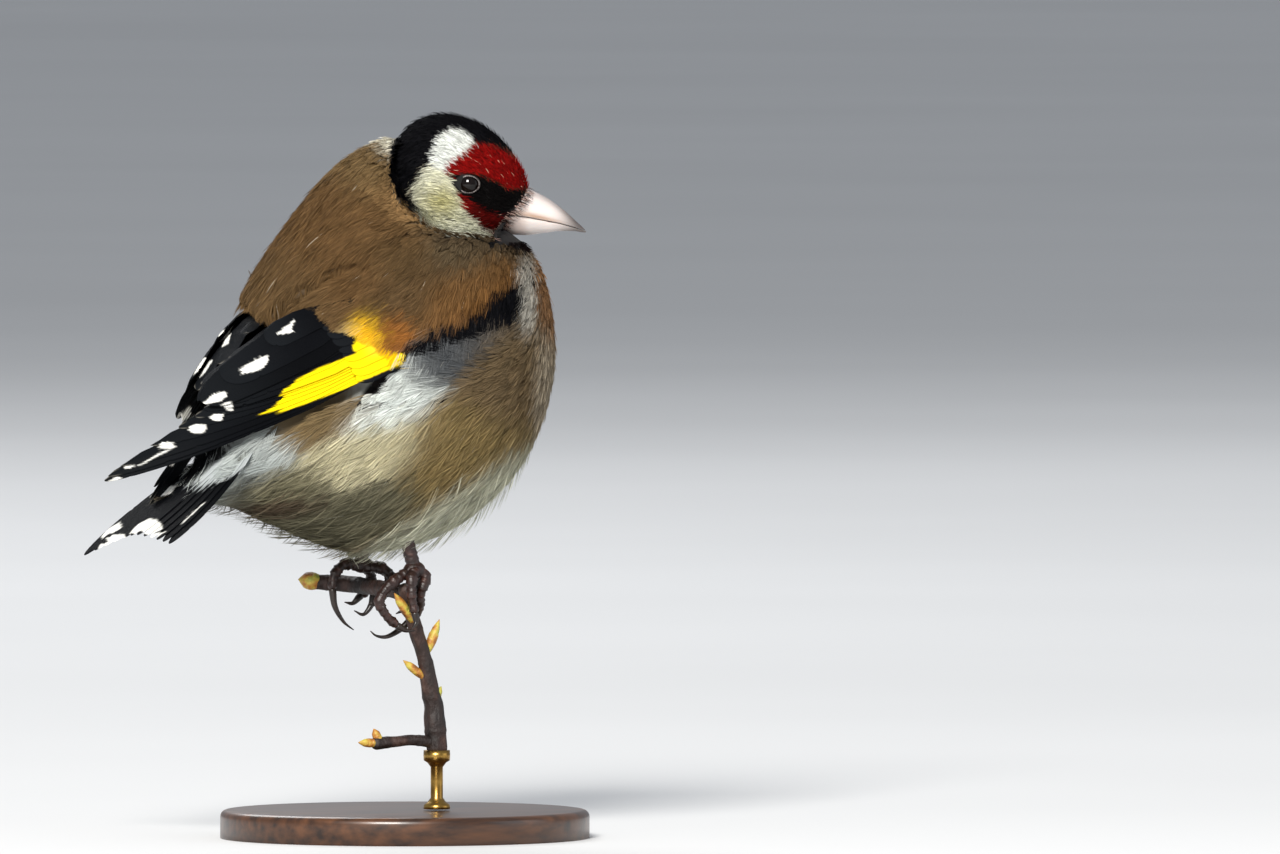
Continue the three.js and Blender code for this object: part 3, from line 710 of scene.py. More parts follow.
COAT_TONES = {
    "hind neck": Patch((-3, 124.5), (2.2, 2.2), 0, tone("e0dccb")),
    "neck": Patch((-8, 120), (5, 5), -40, tone("7c6645")),
    "neck side": Patch((1.5, 113), (6, 2.6), -20, tone("9e7e54")),
    "throat side": Patch((11.5, 107.5), (8, 2.2), -12, tone("5f503c")),
    "mantle": Patch((-13, 109), (12, 11), -50, tone("6c5234")),
    "lower mantle": Patch((-22, 98), (9, 7), -50, tone("6d5639")),
    "scapulars": Patch((-1, 103.5), (6, 3.8), -25, tone("5f4b31")),
    "rear scapulars": Patch((1, 98), (9, 3.6), 38, tone("604c33")),
    "shoulder": Patch((9, 103.5), (5, 3.2), 10, tone("5e5340")),
    "lesser coverts": Patch((10, 98.5), (7, 5), 20, tone("735432")),
    "covert edge": Patch((13, 95), (6, 2), 35, tone("74502a")),
    "cream corner": Patch((-10, 89.6), (1.5, 1.8), 0, tone("dcc48e")),
    "golden corner": Patch((-6.7, 90.6), (2.5, 3), 0, tone("f2c424")),
    "orange corner": Patch((-2.4, 91), (2.5, 3), 0, tone("9a642e")),
    "side under the wrist": Patch((8.5, 87), (8.5, 3), 28, tone("54575a")),
    "breast edge": Patch((21.6, 96), (1.3, 5), 0, tone("b4b0a6")),
    "breast outline": Patch((26, 99), (1.6, 9), 0, tone("8a6848")),
    "flank": Patch((-2.8, 79.2), (6.6, 4.1), 30, tone("dadfdb")),
    "breast side": Patch((17.5, 83), (6, 8), 0, tone("76644a")),
    "breast middle": Patch((25.2, 80), (1.8, 8), 0, tone("a89c88")),
    "rear flank": Patch((-16, 76.5), (8, 3.4), 20, tone("7f6c4c")),
    "belly side": Patch((-6, 68.5), (8, 4), 20, tone("c4bd9e")),
    "belly": Patch((9, 69.5), (9, 6), 20, tone("8a774f")),
    # The lower belly's grey-brown is partly its own dull tone and mostly painted shade of the underside.
    "lower belly in painted shade": Patch((-10, 60), (9, 2.8), 10, tone("6e6a56")),
    "lower breast": Patch((14, 60.5), (9, 3.5), 35, tone("c6c6b2")),
    "tail base": Patch((-28, 69), (5, 4), 15, tone("b6bcba")),
    "vent": Patch((-21.5, 63.2), (6, 2.4), 0, tone("7d7860")),
    # The under tail's dark brown is partly its own dull tone and mostly painted shade of the underside.
    "under tail in painted shade": Patch((-20, 59.6), (5, 1.2), 0, tone("55473a")),
    "rump": Patch((-30, 88), (5, 4.5), 0, tone("7a6242")),
}
BODY_MARKS = (
    (
        tone("0c0c10"), 11,
        ((10.5, 91.8), (13.4, 94.1), (16.6, 97.2), (19.1, 98.6), (20.7, 98.9), (20.9, 96.1), (20.2, 93.4),
         (19.1, 92), (15.5, 91.3), (11.6, 90), (5, 87.8), (-0.5, 85.9), (-1, 87.4), (4, 90)),
    ),
    (tone("f0c412"), 11, ((-7.5, 87.6), (-3.5, 87.8), (-1.2, 86.8), (-0.6, 85.8), (-3.4, 84.6), (-7, 84))),
    (
        tone("0a0b0e"), 0,
        ((-31.6, 71.5), (-32.6, 69), (-34.9, 66.8), (-38, 63.2), (-39.6, 61.2), (-47, 61.2), (-47, 72),
         (-31.6, 72)),
    ),
)
SWAYS = (
    Patch((2.5, 113), (8, 3.6), 0, (-1.0, -0.18, 1.6)),
    Patch((-1, 99.5), (9, 4.5), 38, (-0.8, -0.6, 1.6)),
    Patch((-14, 100), (9, 8), 0, (-0.75, -0.7, 0.8)),
    Patch((11, 98), (7, 6), 0, (-0.1, -1.0, 1.8)),
    Patch((9, 92), (7, 2.6), 25, (0.25, -0.95, 1.8)),
    Patch((12, 86.5), (10, 3.6), 28, (-0.72, 0.62, 2.4)),
    Patch((22.5, 97), (2.6, 6), 0, (-0.9, -0.35, 2.0)),
    Patch((18, 83), (5, 5), 0, (-1.0, 0.12, 1.8)),
    Patch((7, 77), (5, 5), 0, (-0.6, -0.8, 1.2)),
    Patch((-3, 81), (7, 4), 0, (-0.88, -0.4, 1.4)),
    Patch((0, 69), (14, 7), 0, (-0.85, -0.5, 1.2)),
    Patch((-22, 64), (10, 6), 0, (-0.97, -0.22, 1.4)),
)


class Mark(Enum):
    """The sharp-edged markings of the head, as outlines in its side view, x towards the bill and z up."""

    CROWN = (
        tone("0b0b0f"),
        ((-12.9, 3), (-12.6, -2), (-10.3, -4.6), (-8.9, -6.1), (-6.2, -7.9), (-3.4, -9.4), (-6.2, -7),
         (-9.2, -3.2), (-7.3, 0.8), (-5.8, 2), (-5.4, 4.3), (-4.4, 6.8), (-3, 7.8), (-1, 8.4), (0.9, 7.8),
         (2.4, 6), (4.2, 5.8), (6.3, 5.6), (8.3, 4.4), (10.4, 3.4), (13, 6), (6, 13), (-2, 14), (-9, 12),
         (-12.2, 8.5), (-12.3, 5.8)),
    )
    EAR = (
        tone("dcdcc8"),
        ((-7.3, 0.8), (-5.8, 2), (-2.75, 0.9), (-1.5, -0.8), (-0.3, -3.1), (0.4, -5.3), (1.6, -6.9),
         (3.2, -8.4), (5.1, -9.5), (7.4, -9.9), (9, -11.3), (8.6, -12.4), (5, -11.4), (0.1, -10.4),
         (-4, -9.6), (-6.4, -7.4), (-9.2, -3.2)),
    )
    NAPE_SIDE = (
        tone("e6e9e4"),
        ((-3, 8), (-1, 8.7), (0.9, 8.1), (2.2, 6.8), (2.5, 5.9), (0.4, 4), (-1.9, 2.4), (-2.6, 0.7),
         (-5.9, 2), (-5.5, 4.3), (-4.5, 6.8)),
    )
    BROW = (
        tone("840a08"),
        ((2.9, 6.1), (4.2, 5.9), (6.3, 5.6), (8.3, 4.4), (10.4, 3.4), (12.5, 5), (15, 0), (12.8, -2.2),
         (10.4, -2.4), (8.3, -2.2), (6.3, -0.8), (4.2, 0), (2.2, 0.6), (0.2, 0.4), (-1.5, -0.2),
         (-2.9, 0.9), (-1.9, 2.5), (0.6, 4.1)),
    )
    CHIN = (
        tone("560a08"),
        ((-0.6, -2.6), (1.2, -3.6), (3, -4.8), (5.2, -6), (8, -6.2), (10.5, -7), (12, -10), (9.2, -11),
         (6.8, -10.3), (4.6, -9.6), (3, -8.4), (1.4, -7), (0.3, -5.4), (-0.5, -3.2)),
    )
    LORES = (
        tone("0a0808"),
        ((-1.9, 0.2), (0.2, 0.6), (2.2, 0.7), (4.2, 0), (6.3, -0.8), (8.3, -2.2), (10.4, -2.4),
         (12.8, -2.2), (13, -6.5), (9.7, -7.6), (7.2, -7), (5.1, -6.5), (3.2, -5.3), (1, -4), (-0.6, -2.8),
         (-1.6, -1.2)),
    )
    THROAT = (
        tone("120909"),
        ((6.7, -9.8), (9, -9.9), (10.6, -10.2), (13, -10.5), (13, -14.5), (10.8, -13.6), (8.4, -12.4),
         (7.3, -11.2)),
    )


class Plumage:
    """The colour and lie of the small feathers anywhere on the bird."""

    BLUR = 0.45
    FACE_SIDES = (-17, 12)
    FACE_LOW = -14

    def tones(self, points: Array, draw: np.random.Generator, ragged: float) -> Array:
        """Colours of the plumage.

        Args:
            points: Places on the outer surface, in millimetres.
            draw: The source of chance.
            ragged: How ragged the edges of the markings are, in millimetres.

        Returns:
            A linear colour for each place.
        """
        side = side_view(points) + draw.normal(0, self.BLUR, (len(points), 2))
        weights = (np.stack([patch.weight(side) for patch in COAT_TONES.values()]) + 1e-5).T ** 1.6
        shades = weights @ np.array([patch.gives for patch in COAT_TONES.values()])
        shades /= weights.sum(axis=1)[:, None]
        for colour, least, outline in BODY_MARKS:
            share = ease(inside_by(side, outline), -0.5, 0.3) * (np.abs(points[:, 1]) >= least)
            shades = mixed(shades, colour, share)
        local = HeadFrame.local(points)
        profile = local[:, [0, 2]] + draw.normal(0, ragged, (len(points), 2))
        near = within(local[:, 1], *self.FACE_SIDES) & (local[:, 2] > self.FACE_LOW)
        above = Face.above_collar(local) > 0.1
        for mark in Mark:
            colour, outline = mark.value
            share = ease(inside_by(profile, outline), -0.15, 0.2) * near * (above | (mark is Mark.THROAT))
            shades = mixed(shades, colour, share)
        return self.shaded_face(shades, profile, near & above)

    @staticmethod
    def shaded_face(shades: Array, profile: Array, near: Array) -> Array:
        """Warm the middle of the ear patch and the fore edge of the chin."""
        olive = np.exp(-(((profile[:, 0] + 3.4) / 3.3) ** 2 + ((profile[:, 1] + 4.4) / 2.9) ** 2))
        pale = (shades.min(axis=1) > 0.3) & near
        shades = mixed(shades, tone("bcb46c"), olive * pale * 0.75)
        rim = np.exp(-(((profile[:, 0] - 0.6) / 1.1) ** 2 + ((profile[:, 1] + 4.6) / 2.4) ** 2))
        red = (shades[:, 0] > 3 * shades[:, 1] + 0.02) & near
        return mixed(shades, tone("a01410"), rim * red * 0.7)

    def ways(self, points: Array, normals: Array) -> Array:
        """Directions in which the feathers lie.

        Args:
            points: Places on the outer surface, in millimetres.
            normals: The surface's normals there.

        Returns:
            Unit vectors along the surface.
        """
        side = side_view(points)
        flank = ease(np.abs(points[:, 1]), 4, 10)
        local = HeadFrame.local(points)
        head = Face.head_share(local)
        away = unit(local - (11, 0, -6))
        away[:, 2] -= 0.9 * ease(-local[:, 0], 0, 10)
        total = mixed(np.tile(SPINE, (len(points), 1)), HeadFrame.turned(away), head)
        for sway in SWAYS:
            across, up, strength = sway.gives
            way = side_vectors(points, np.tile((across, up), (len(points), 1)))
            total = total + way * (sway.weight(side) * strength * flank * (1 - head))[:, None]
        total = total - normals * (total * normals).sum(axis=1)[:, None]
        return unit(total)


# Flight feathers


@dataclass(frozen=True)
class Feather:
    """One vane on a sheet: root and tip as millimetres along and across, its width, layer and outline."""

    root: Pair
    tip: Pair
    width: float
    rise: float
    sink: float = 0.5
    floor: float = 0.0
    bow: float = 0.0
    pointed: bool = False
    thickness: float = 0.56


@dataclass
class Vane:
    """The mesh of one flight feather, with a raised shaft, a cambered web and split edges."""

    columns: int = 64
    rows: int = 12
    web: float = 0.13
    shaft: float = 0.09
    camber: float = 0.1
    splits: int = 3

    def outline(self, share: Array, pointed: bool) -> Array:
        """Half width of the vane as a share of its widest, along it."""
        start, power = (0.62, 1.5) if pointed else (0.78, 2.2)
        end = np.maximum(0, (share - start) / (1 - start))
        return np.minimum(1, 0.5 + share * 1.6) * np.sqrt(np.maximum(0.0004, 1 - end**power))

    def grow(
        self,
        into: Growing,
        place: Callable[[Array, Array, Array], Array],
        feather: Feather,
        paint: Callable[[Array, Array, Array, Array], Array],
        draw: np.random.Generator,
    ) -> None:
        """Add the feather to a mesh.

        Args:
            into: The mesh being grown.
            place: The sheet, from along, across and rise to a point.
            feather: The feather's own sizes.
            paint: Colours from along, across, the share of the length and the side of the web from -1 to 1.
            draw: The source of chance.
        """
        share = 1 - (1 - np.linspace(0, 1, self.columns + 1)) ** 1.35
        web = np.linspace(-1, 1, self.rows + 1)
        web = np.sign(web) * np.abs(web) ** 0.85
        share, web = grid(share, web)
        reach = self.outline(share, feather.pointed)
        for _ in range(self.splits):
            at, side = draw.uniform(0.45, 0.93), draw.choice([-1, 1])
            notch = np.clip(1 - np.abs(share - at - 0.02 * np.abs(web)) / 0.012, 0, 1) * (web * side > 0)
            reach = reach * (1 - notch * draw.uniform(0.06, 0.2))
        over = reach * web * feather.width / 2
        span = feather.tip[0] - feather.root[0]
        along = feather.root[0] + span * share
        middle = feather.root[1] + (feather.tip[1] - feather.root[1]) * share
        middle = middle + 4 * feather.bow * share * (1 - share)
        lift = np.maximum(feather.rise - feather.sink * (1 - np.minimum(1, share * 2.4)), feather.floor)
        top = lift + feather.thickness - self.camber * web**2
        top += self.shaft * np.exp(-((web / 0.13) ** 2)) * (1.05 - share)
        low = top - self.web * (1 - 0.7 * web**2) - 0.01
        outer, inner = place(along, middle + over, top), place(along, middle + over, low)
        count, width = len(share), self.rows + 1
        i, j = grid(np.arange(self.columns), np.arange(self.rows))
        corner = i * width + j
        quad = np.column_stack([corner, corner + width, corner + width + 1, corner + 1])
        rims = [np.column_stack([e[:-1], e[1:], e[1:] + count, e[:-1] + count]) for e in self.edges(width)]
        shades = paint(along, middle + over, share, web)
        grain = np.column_stack([over, share * span, np.full(count, draw.random() * GRAIN_RANGE)])
        # Painted shade: the under side of the vane takes the same colours at 0.75.
        into.add(
            np.vstack([outer, inner]),
            np.vstack([quad, quad[:, ::-1] + count, *rims]),
            np.vstack([shades, shades * 0.75]),
            np.vstack([grain, grain]),
        )

    def edges(self, width: int) -> list[Array]:
        """The vane's four rims as rows of points."""
        rows = np.arange((self.columns + 1) * width).reshape(-1, width)
        return [rows[::-1, 0], rows[0], rows[:, -1], rows[-1, ::-1]]


class WingSide(Enum):
    """The two wings: the near one is spread a little more than the far one, which hangs lower."""

    RIGHT = ("right", -1, 1.0, 0.0, 0.0, 0.0)
    LEFT = ("left", 1, 0.5, 1.8, 4.2, 2.2)


BLACK = tone("07080b")
SPOT_WHITE = tone("f0efe9")
GRAIN_RANGE = 50


def spotted(shades: Array, places: Array, spots: Sequence, draw: np.random.Generator,
            inset: float = 0.0) -> Array:
    """Colours with white spots laid over them, with slightly ragged edges, a little inside their outlines."""
    places = places + draw.normal(0, 0.05, places.shape)
    depth = np.max([inside_by(places, spot) for spot in spots], axis=0)
    return mixed(shades, SPOT_WHITE, ease(depth - inset, -0.12, 0.1))


@dataclass
class Wing:
    """A folded wing: its sheet over the flank, its flight feathers and coverts, and their colours."""

    side: WingSide
    breadth: float = 18.5
    bulge: float = 1.4
    layer: float = 0.24
    tertial_end: float = 60
    edge: tuple = ((12.5, -17, 92.5), (-10.5, -21.5, 84.8), (-28.4, -17, 76.6), (-43.4, -6.6, 69.6),
                   (-61.4, -2.4, 63.6))
    across: tuple = ((-3, 4.5, 13), (-3.3, 6.5, 12.9), (-1.5, 8, 12.2), (-2, 5.6, 10.5), (-2.5, 3.2, 10))
    primary_tips: tuple = ((84, 1.4), (83.2, 2.1), (80.6, 3.2), (74.2, 4.9), (68.2, 6.2), (64.6, 7),
                           (62.6, 7.6), (61.2, 8.1))
    secondary_tips: tuple = ((60.6, 8.5), (60.4, 8.9), (60.6, 9.3))
    tertials: tuple = (((29, 11.2), (62.8, 9.6), 6.6), ((30, 13.8), (57.2, 12), 6.8),
                       ((31, 15.4), (47.2, 15), 5.2))
    coverts: tuple = ((8, (20, 2.2, 13), (35, 2.2, 12.8), 3.6, 0.9),
                      (5, (10, 1.4, 5.4), (29, 1.2, 4.6), 2.6, 0.3))
    panel: tuple = (
        (24, 1), (26, 3.4), (27, 5), (30, 8), (32.7, 8.4), (33.8, 7.3), (33.6, 6.4), (36.9, 6.5),
        (40.6, 6.7), (45.8, 6.4), (46.2, 5.8), (47.5, 5.7), (48.4, 4.9), (48.8, 4.2), (49.7, 3.7),
        (53.2, 3.2), (48.6, 2.8), (50, 2.3), (38, 1.6),
    )
    inner: tuple = (((33, 17.5), (53, 17.2), 8), ((40, 16.5), (60, 14), 6.5))
    far_inner: tuple = (((20, 21), (44, 20.5), 7), ((22, 18), (52, 18), 9), ((26, 14.5), (58, 14.5), 8),
                        ((44, -0.5), (67, 0), 4))
    outline: tuple = (
        (0, 15), (27, 15), (31, 15.2), (35, 16.2), (37, 16.7), (40, 17.2), (44.4, 17.1), (45.9, 16.6),
        (47.7, 15.9), (51.1, 15), (54.7, 13.9), (57.5, 12.9), (60.3, 11.6), (62.1, 10.2), (62.8, 8.9),
        (65.9, 7.6), (68.9, 6.2), (72, 5.2), (75, 4.6), (79.2, 3.3), (81.7, 2.7), (84, 1.6), (95, 1.6),
    )
    coat_edge: tuple = ((4, 27.6), (5.6, 28.5), (6.6, 30.6), (8, 32.7), (9.2, 33.3), (10.4, 34),
                        (12.4, 35.9), (13.6, 36.8), (16.5, 36.9), (19, 39))
    spots: tuple = (
        ((40.2, 15.9), (41.5, 15.1), (42, 14.5), (41.5, 13.9), (42.6, 14), (44.2, 14.4), (45.7, 15),
         (43.2, 15.5), (41, 16)),
        ((47.9, 12.3), (48, 11.4), (48.6, 10.7), (49.6, 10.2), (51.1, 10.2), (54.2, 10.7), (53.2, 11.1),
         (54.4, 11.7), (51.3, 12.1), (49.4, 12.4)),
        ((57, 8.8), (57.5, 7.9), (58.7, 7.5), (60.1, 7.6), (62.4, 7.9), (62.8, 8.5), (61.4, 8.7),
         (60.2, 9.2), (58.6, 9.3)),
        ((56.6, 7), (57.5, 5.5), (58.5, 5.8), (58.9, 6.6), (59.8, 7.1), (58.1, 7.2)),
        ((59, 5.8), (60.2, 4.5), (61.3, 4.9), (62.5, 6.1), (61, 6.3)),
        ((63, 5.1), (63.4, 3.9), (64.4, 3.6), (65.8, 4.1), (66.8, 5.1), (66.2, 5.9), (64.7, 5.8)),
        ((69.8, 4.1), (69.9, 3.2), (71, 3.1), (72.8, 3.6), (72.9, 4.4), (72, 4.8)),
        ((77.5, 2.4), (78, 2), (79.8, 2.1), (80.4, 2.6), (79.5, 2.9)),
        ((80.3, 0.6), (83.5, 0.6), (83.5, 1.3), (81.4, 1.5)),
        ((69.3, 3), (73.4, 2.4), (77.6, 1.75), (77.5, 2.25), (73.3, 3.05), (69.6, 3.5)),
    )
    far_spots: tuple = (
        ((44.5, 17.3), (45.6, 16.4), (48.4, 16.3), (47, 18.6)),
        ((51.4, 16.2), (51.8, 14.8), (56.2, 13.6), (54.6, 15.4)),
        ((58.6, 13.8), (59, 12.2), (62, 10.9), (61.4, 12.8)),
    )

    def __post_init__(self) -> None:
        """Lay the lower edge out by its length."""
        self.name, self.hand, self.reach, self.settle, self.droop, self.tuck = self.side.value
        self.forward = np.array((0.6, 0, 0.3)) * (self.hand > 0)
        share = np.linspace(0, 1, 500)
        edge = spline(self.edge, share)
        self.run = np.concatenate([[0], np.cumsum(np.linalg.norm(np.diff(edge, axis=0), axis=1))])
        self.table = np.column_stack([edge, unit(spline(self.across, share)),
                                      unit(np.gradient(edge, axis=0))])

    def flat(self, along: Array, over: Array) -> Array:
        """Points of the right wing's sheet, along from the wrist and across from the lower edge."""
        inside = np.clip(along, 0, self.run[-1])
        rows = columns_at(inside, self.run, self.table)
        q = over / self.breadth
        points = rows[:, :3] + rows[:, 6:] * (along - inside)[:, None] + rows[:, 3:6] * over[:, None]
        points += self.forward
        points[:, 1] += self.tuck * ease(along, 30, self.tertial_end) - 4 * self.bulge * q * (1 - q)
        points[:, 2] -= self.settle * ease(along, 0, 40) + self.droop * np.maximum(0, (along - 48) / 19) ** 2
        return points

    def place(self, along: Array, over: Array, rise: Array) -> Array:
        """Points above the wing's sheet, on the wing's own side."""
        run = self.flat(along + 0.5, over) - self.flat(along - 0.5, over)
        rung = self.flat(along, over + 0.5) - self.flat(along, over - 0.5)
        outward = unit(np.cross(rung, run))
        outward *= np.where(outward[:, 1:2] > 0, -1, 1)
        return (self.flat(along, over) + outward * rise[:, None]) * (1, -self.hand, 1)

    def trimmed(self, along: Array, over: Array, rise: Array) -> Array:
        """Points above the sheet, within the folded wing's outline or turned in over the back past it."""
        most = np.interp(along, *zip(*self.outline))
        past = np.maximum(over - most, 0)
        return self.place(along, np.minimum(over, most), rise) - past[:, None] * (0, 0.98 * self.hand, 0.1)

    def feathers(self) -> list[Feather]:
        """The flight feathers from the lowest layer to the top one, then the two ranks of coverts."""
        rows = [(*ends, 3.6, True) for ends in self.rooted(self.primary_tips, (26, 3), (28, 5.8))]
        rows += [(*ends, 5.2, False) for ends in self.rooted(self.secondary_tips, (28, 6.6), (29, 10))]
        rows += [(*tertial, False) for tertial in self.tertials]
        hidden = self.far_inner if self.hand > 0 else self.inner
        made = [Feather(root, tip, width, 1.6) for root, tip, width in hidden]
        for i, (root, tip, width, pointed) in enumerate(rows):
            end = min(tip[0], self.tertial_end + (tip[0] - self.tertial_end) * self.reach)
            made.append(Feather(root, (end, tip[1]), width, i * self.layer, pointed=pointed))
        for count, root, tip, width, lift in self.coverts:
            for share in np.linspace(0, 1, count):
                over = tip[1] + (tip[2] - tip[1]) * share
                start = (root[0] + share * 4, root[1] + (root[2] - root[1]) * share)
                made.append(Feather(start, (tip[0] + share * 2, over), width,
                                    lift + over / self.breadth * 2.9))
        return made

    @staticmethod
    def rooted(tips: Sequence, first: tuple, last: tuple) -> list[tuple]:
        """Roots spread evenly between two places, each with its tip."""
        shares = np.linspace(0, 1, len(tips))
        return [(between(first, last, share), tip) for share, tip in zip(shares, tips)]

    def paint(self, along: Array, across: Array, share: Array, web: Array, index: int,
              draw: np.random.Generator) -> Array:
        """Colours of one feather.

        Args:
            along: Millimetres along the sheet.
            across: Millimetres across the sheet.
            share: Share of the feather's length.
            web: Side of the web, from -1 to 1.
            index: The feather's place in the layers.
            draw: The source of chance.

        Returns:
            A linear colour for each place.
        """
        past = along - self.tertial_end
        spread = np.where(past > 0, self.tertial_end + past / self.reach, along)
        shades = np.tile(BLACK, (len(along), 1)) * draw.uniform(0.8, 1.25)
        sheen = ease(share, 0.4, 0.95) * 0.2
        shades = mixed(shades, tone("2b2f33"), sheen)
        jag = draw.uniform(-0.7, 0.7)
        shift = jag * ease(along, 40, 48) + draw.normal(0, 0.1, len(along))
        places = np.column_stack([spread + shift, across])
        yellow = ease(inside_by(places, self.panel), -0.1, 0.15)
        gold = np.tile(tone("f7d80a"), (len(along), 1))
        shades = mixed(shades, gold * draw.uniform(0.94, 1.04), yellow)
        shades = mixed(shades, tone("6b5a14"), yellow * np.exp(-((web / 0.1) ** 2)) * 0.5)
        shades = mixed(shades, tone("a08a10"), yellow * ease(np.abs(web), 0.86, 0.98) * 0.3)
        corner = (1 - ease(along, 28, 33)) * ease(across, 3.4, 5.5)
        shades = mixed(shades, tone("d8a838"), corner * (1 - ease(across, 7.5, 9)) * 0.9)
        shades = mixed(shades, tone("4a3a26"), corner * ease(across, 7.5, 9) * 0.9)
        spots = self.spots[:7] + self.far_spots if self.hand > 0 else self.spots
        shades = spotted(shades, np.column_stack([spread, across]), spots, draw, 0.17)
        fringe = ease(share, 0.95, 0.99) * ease(np.abs(web), 0.5, 0.85) * (index < 8)
        return mixed(shades, tone("8e8a80"), fringe * 0.5)

    def cover(self, draw: np.random.Generator) -> tuple[Array, Array, Array, Array]:
        """Roots of the small feathers that lie over the wing's coverts.

        Args:
            draw: The source of chance.

        Returns:
            Roots, outward directions, lengthwise directions and lengths.
        """
        along, over = grid(np.arange(17, 36, 1.35), np.arange(4.6, 18.4, 1.25))
        along = along + draw.uniform(-0.5, 0.5, along.size)
        over = over + draw.uniform(-0.5, 0.5, over.size)
        left = np.interp(over, *zip(*self.coat_edge)) - along
        keep = left > 3.2
        along, over, left = along[keep], over[keep], left[keep]
        rise = 1.8 + over * 0.15
        root = self.place(along, over, rise)
        outward = unit(self.place(along, over, rise + 1) - root)
        way = unit(self.place(along + 1, over - 0.12, rise) - root)
        return root, outward, way, np.clip(left + draw.normal(0, 0.35, left.size), 3.2, 7)

    def build(self) -> Piece:
        """The wing's feathers as one piece."""
        grown, draw = Growing(), np.random.default_rng(11 if self.hand < 0 else 12)
        for index, feather in enumerate(self.feathers()):

            def shade(along: Array, across: Array, share: Array, web: Array, index: int = index) -> Array:
                """This feather's colours."""
                return self.paint(along, across, share, web, index, draw)

            fine = feather.tip[0] > 40
            vane = Vane(columns=96 if fine else 48, rows=round(feather.width / (0.27 if fine else 0.4)))
            vane.grow(grown, self.trimmed, feather, shade, draw)
        piece = grown.built(f"wing_feathers_{self.name}")
        return kept(piece, VaneFinish(), "flight_feathers", f"wing_{self.name}")


@dataclass
class Tail:
    """The forked tail: twelve feathers fanned about a root inside the body."""

    root: Triple = (-17, 0, 84.8)
    pitch: float = math.radians(37.8)
    sweep: float = math.radians(3.8)
    start: float = 20
    length: float = 49
    root_spread: float = 4
    tip_spread: float = 14.4
    width: float = 6.2
    bow: float = 1.5
    layer: float = 0.2
    forks: tuple = ((-1, 1.4), (1, 4.2))
    a_side: int = 6
    spots: tuple = (
        ((44.5, 1.5), (44.6, -1.8), (45.7, -4.8), (47, -6.9), (47.9, -5.9), (48.9, -4.9), (48.5, -3),
         (47.8, -1), (48.6, 0.5), (48.2, 3), (46.2, 3.4)),
        ((47.4, -8.7), (48.2, -7.9), (49.4, -7.6), (49.5, -4.6), (48.6, -4.9), (48.1, -6.4)),
        ((43.8, 13.3), (46, 9.1), (46.9, 9.7), (47.4, 12), (48.6, 12.6), (48, 14.2), (46.2, 15),
         (44.9, 14.1)),
        ((48.2, 5), (50, 1.7), (50.7, 3.2), (52.4, 5.2), (51.6, 10.2), (50.5, 11), (50.2, 8.3),
         (48.7, 11.3), (48, 9.2)),
        ((34.7, 4), (37.3, 3), (37.7, 6), (36.5, 12.2), (35.1, 11.6), (34.4, 8.5)),
        ((38.7, -10.9), (45.6, -10.9), (44.3, -10.4), (39.6, -10.4)),
    )
    fringe: tuple = ((-14, 26), (-11.5, 29), (-8.8, 33), (-5, 35.5), (0, 34.5), (6.5, 28), (12, 25))

    def place(self, along: Array, across: Array, rise: Array) -> Array:
        """Points above the tail's sheet, millimetres along from its root and across to the left."""
        turn = Matrix.Rotation(-self.pitch, 3, "Y") @ Matrix.Rotation(self.sweep, 3, "Z")
        return np.column_stack([-along, across, rise]) @ np.array(turn).T + self.root

    def paint(self, along: Array, across: Array, draw: np.random.Generator) -> Array:
        """Colours of one tail feather."""
        shades = np.tile(BLACK, (len(along), 1)) * draw.uniform(0.75, 1.1)
        shades = spotted(shades, np.column_stack([along, across]), self.spots, draw)
        edge = np.interp(across, *zip(*self.fringe)) + 2.2 * np.sin(across * 7.3) * np.sin(across * 2.9)
        return mixed(shades, tone("b9bfc0"), 1 - ease(along - edge, -1.2, 0.6))

    def build(self) -> Piece:
        """The tail's feathers as one piece."""
        grown, draw = Growing(), np.random.default_rng(13)
        for side, fork in self.forks:
            for k in range(self.a_side):
                share, spread = k / (self.a_side - 1), (k + 0.5) / self.a_side
                feather = Feather(
                    (self.start, side * self.root_spread * spread),
                    (self.length + fork * share**1.4, side * self.tip_spread * spread),
                    self.width,
                    -k * self.layer - (self.layer / 2 if side > 0 else 0),
                    sink=0,
                    floor=-100,
                    bow=side * self.bow * share,
                    pointed=True,
                )
                vane = Vane(rows=16, camber=0.05, shaft=0.05)
                vane.grow(grown, self.place, feather, lambda a, b, s, w: self.paint(a, b, draw), draw)
        return kept(grown.built("tail_feathers"), VaneFinish(), "flight_feathers", "tail")


# Coat


STATIONS = (0, 1 / 3, 2 / 3, 1)
BARB_STEPS = np.array((0, 0.4, 0.75, 1))
BARB_ROWS = np.repeat(BARB_STEPS, 2)[:-1]


def ribbons(places: Array, wide: Array) -> Array:
    """Seven points of each barb: a pair at each of its first three places, and its tip."""
    pairs = np.stack([places[..., :3, :] - wide, places[..., :3, :] + wide], axis=-2)
    return np.concatenate([pairs.reshape(*places.shape[:-2], 6, 3), places[..., 3:, :]], axis=-2)


def strips(count: int) -> Array:
    """Faces of barbs of seven points."""
    one = np.array(((0, 1, 3, 2), (2, 3, 5, 4), (4, 5, 6, -1)))
    many = one[None] + np.arange(count)[:, None, None] * 7
    return np.where(one[None] < 0, -1, many).reshape(-1, 4)


@dataclass(frozen=True)
class BarbStyle:
    """How a region's barbs are drawn; lengths in millimetres.

    The fields are the barbs of each feather, half a barb's width, how deep the roots lie, how far the
    tips stand off, how ragged the markings are, how much the barbs' tones vary, the share of pale
    strays, and whether the barbs are the fine ones of the head.
    """

    count: int
    half: float
    depth: float
    lift: float
    ragged: float
    vary: float
    strays: float
    fine: bool


BODY_BARBS = BarbStyle(84, 0.062, 0.7, 0.5, 0.5, 0.16, 0.0015, False)
HEAD_BARBS = BarbStyle(26, 0.05, 0.3, 0.22, 0.26, 0.24, 0, True)


class Ground(Enum):
    """What the small feathers of a region lie on."""

    BODY = 0
    WINGS = 1
    TAIL = 2


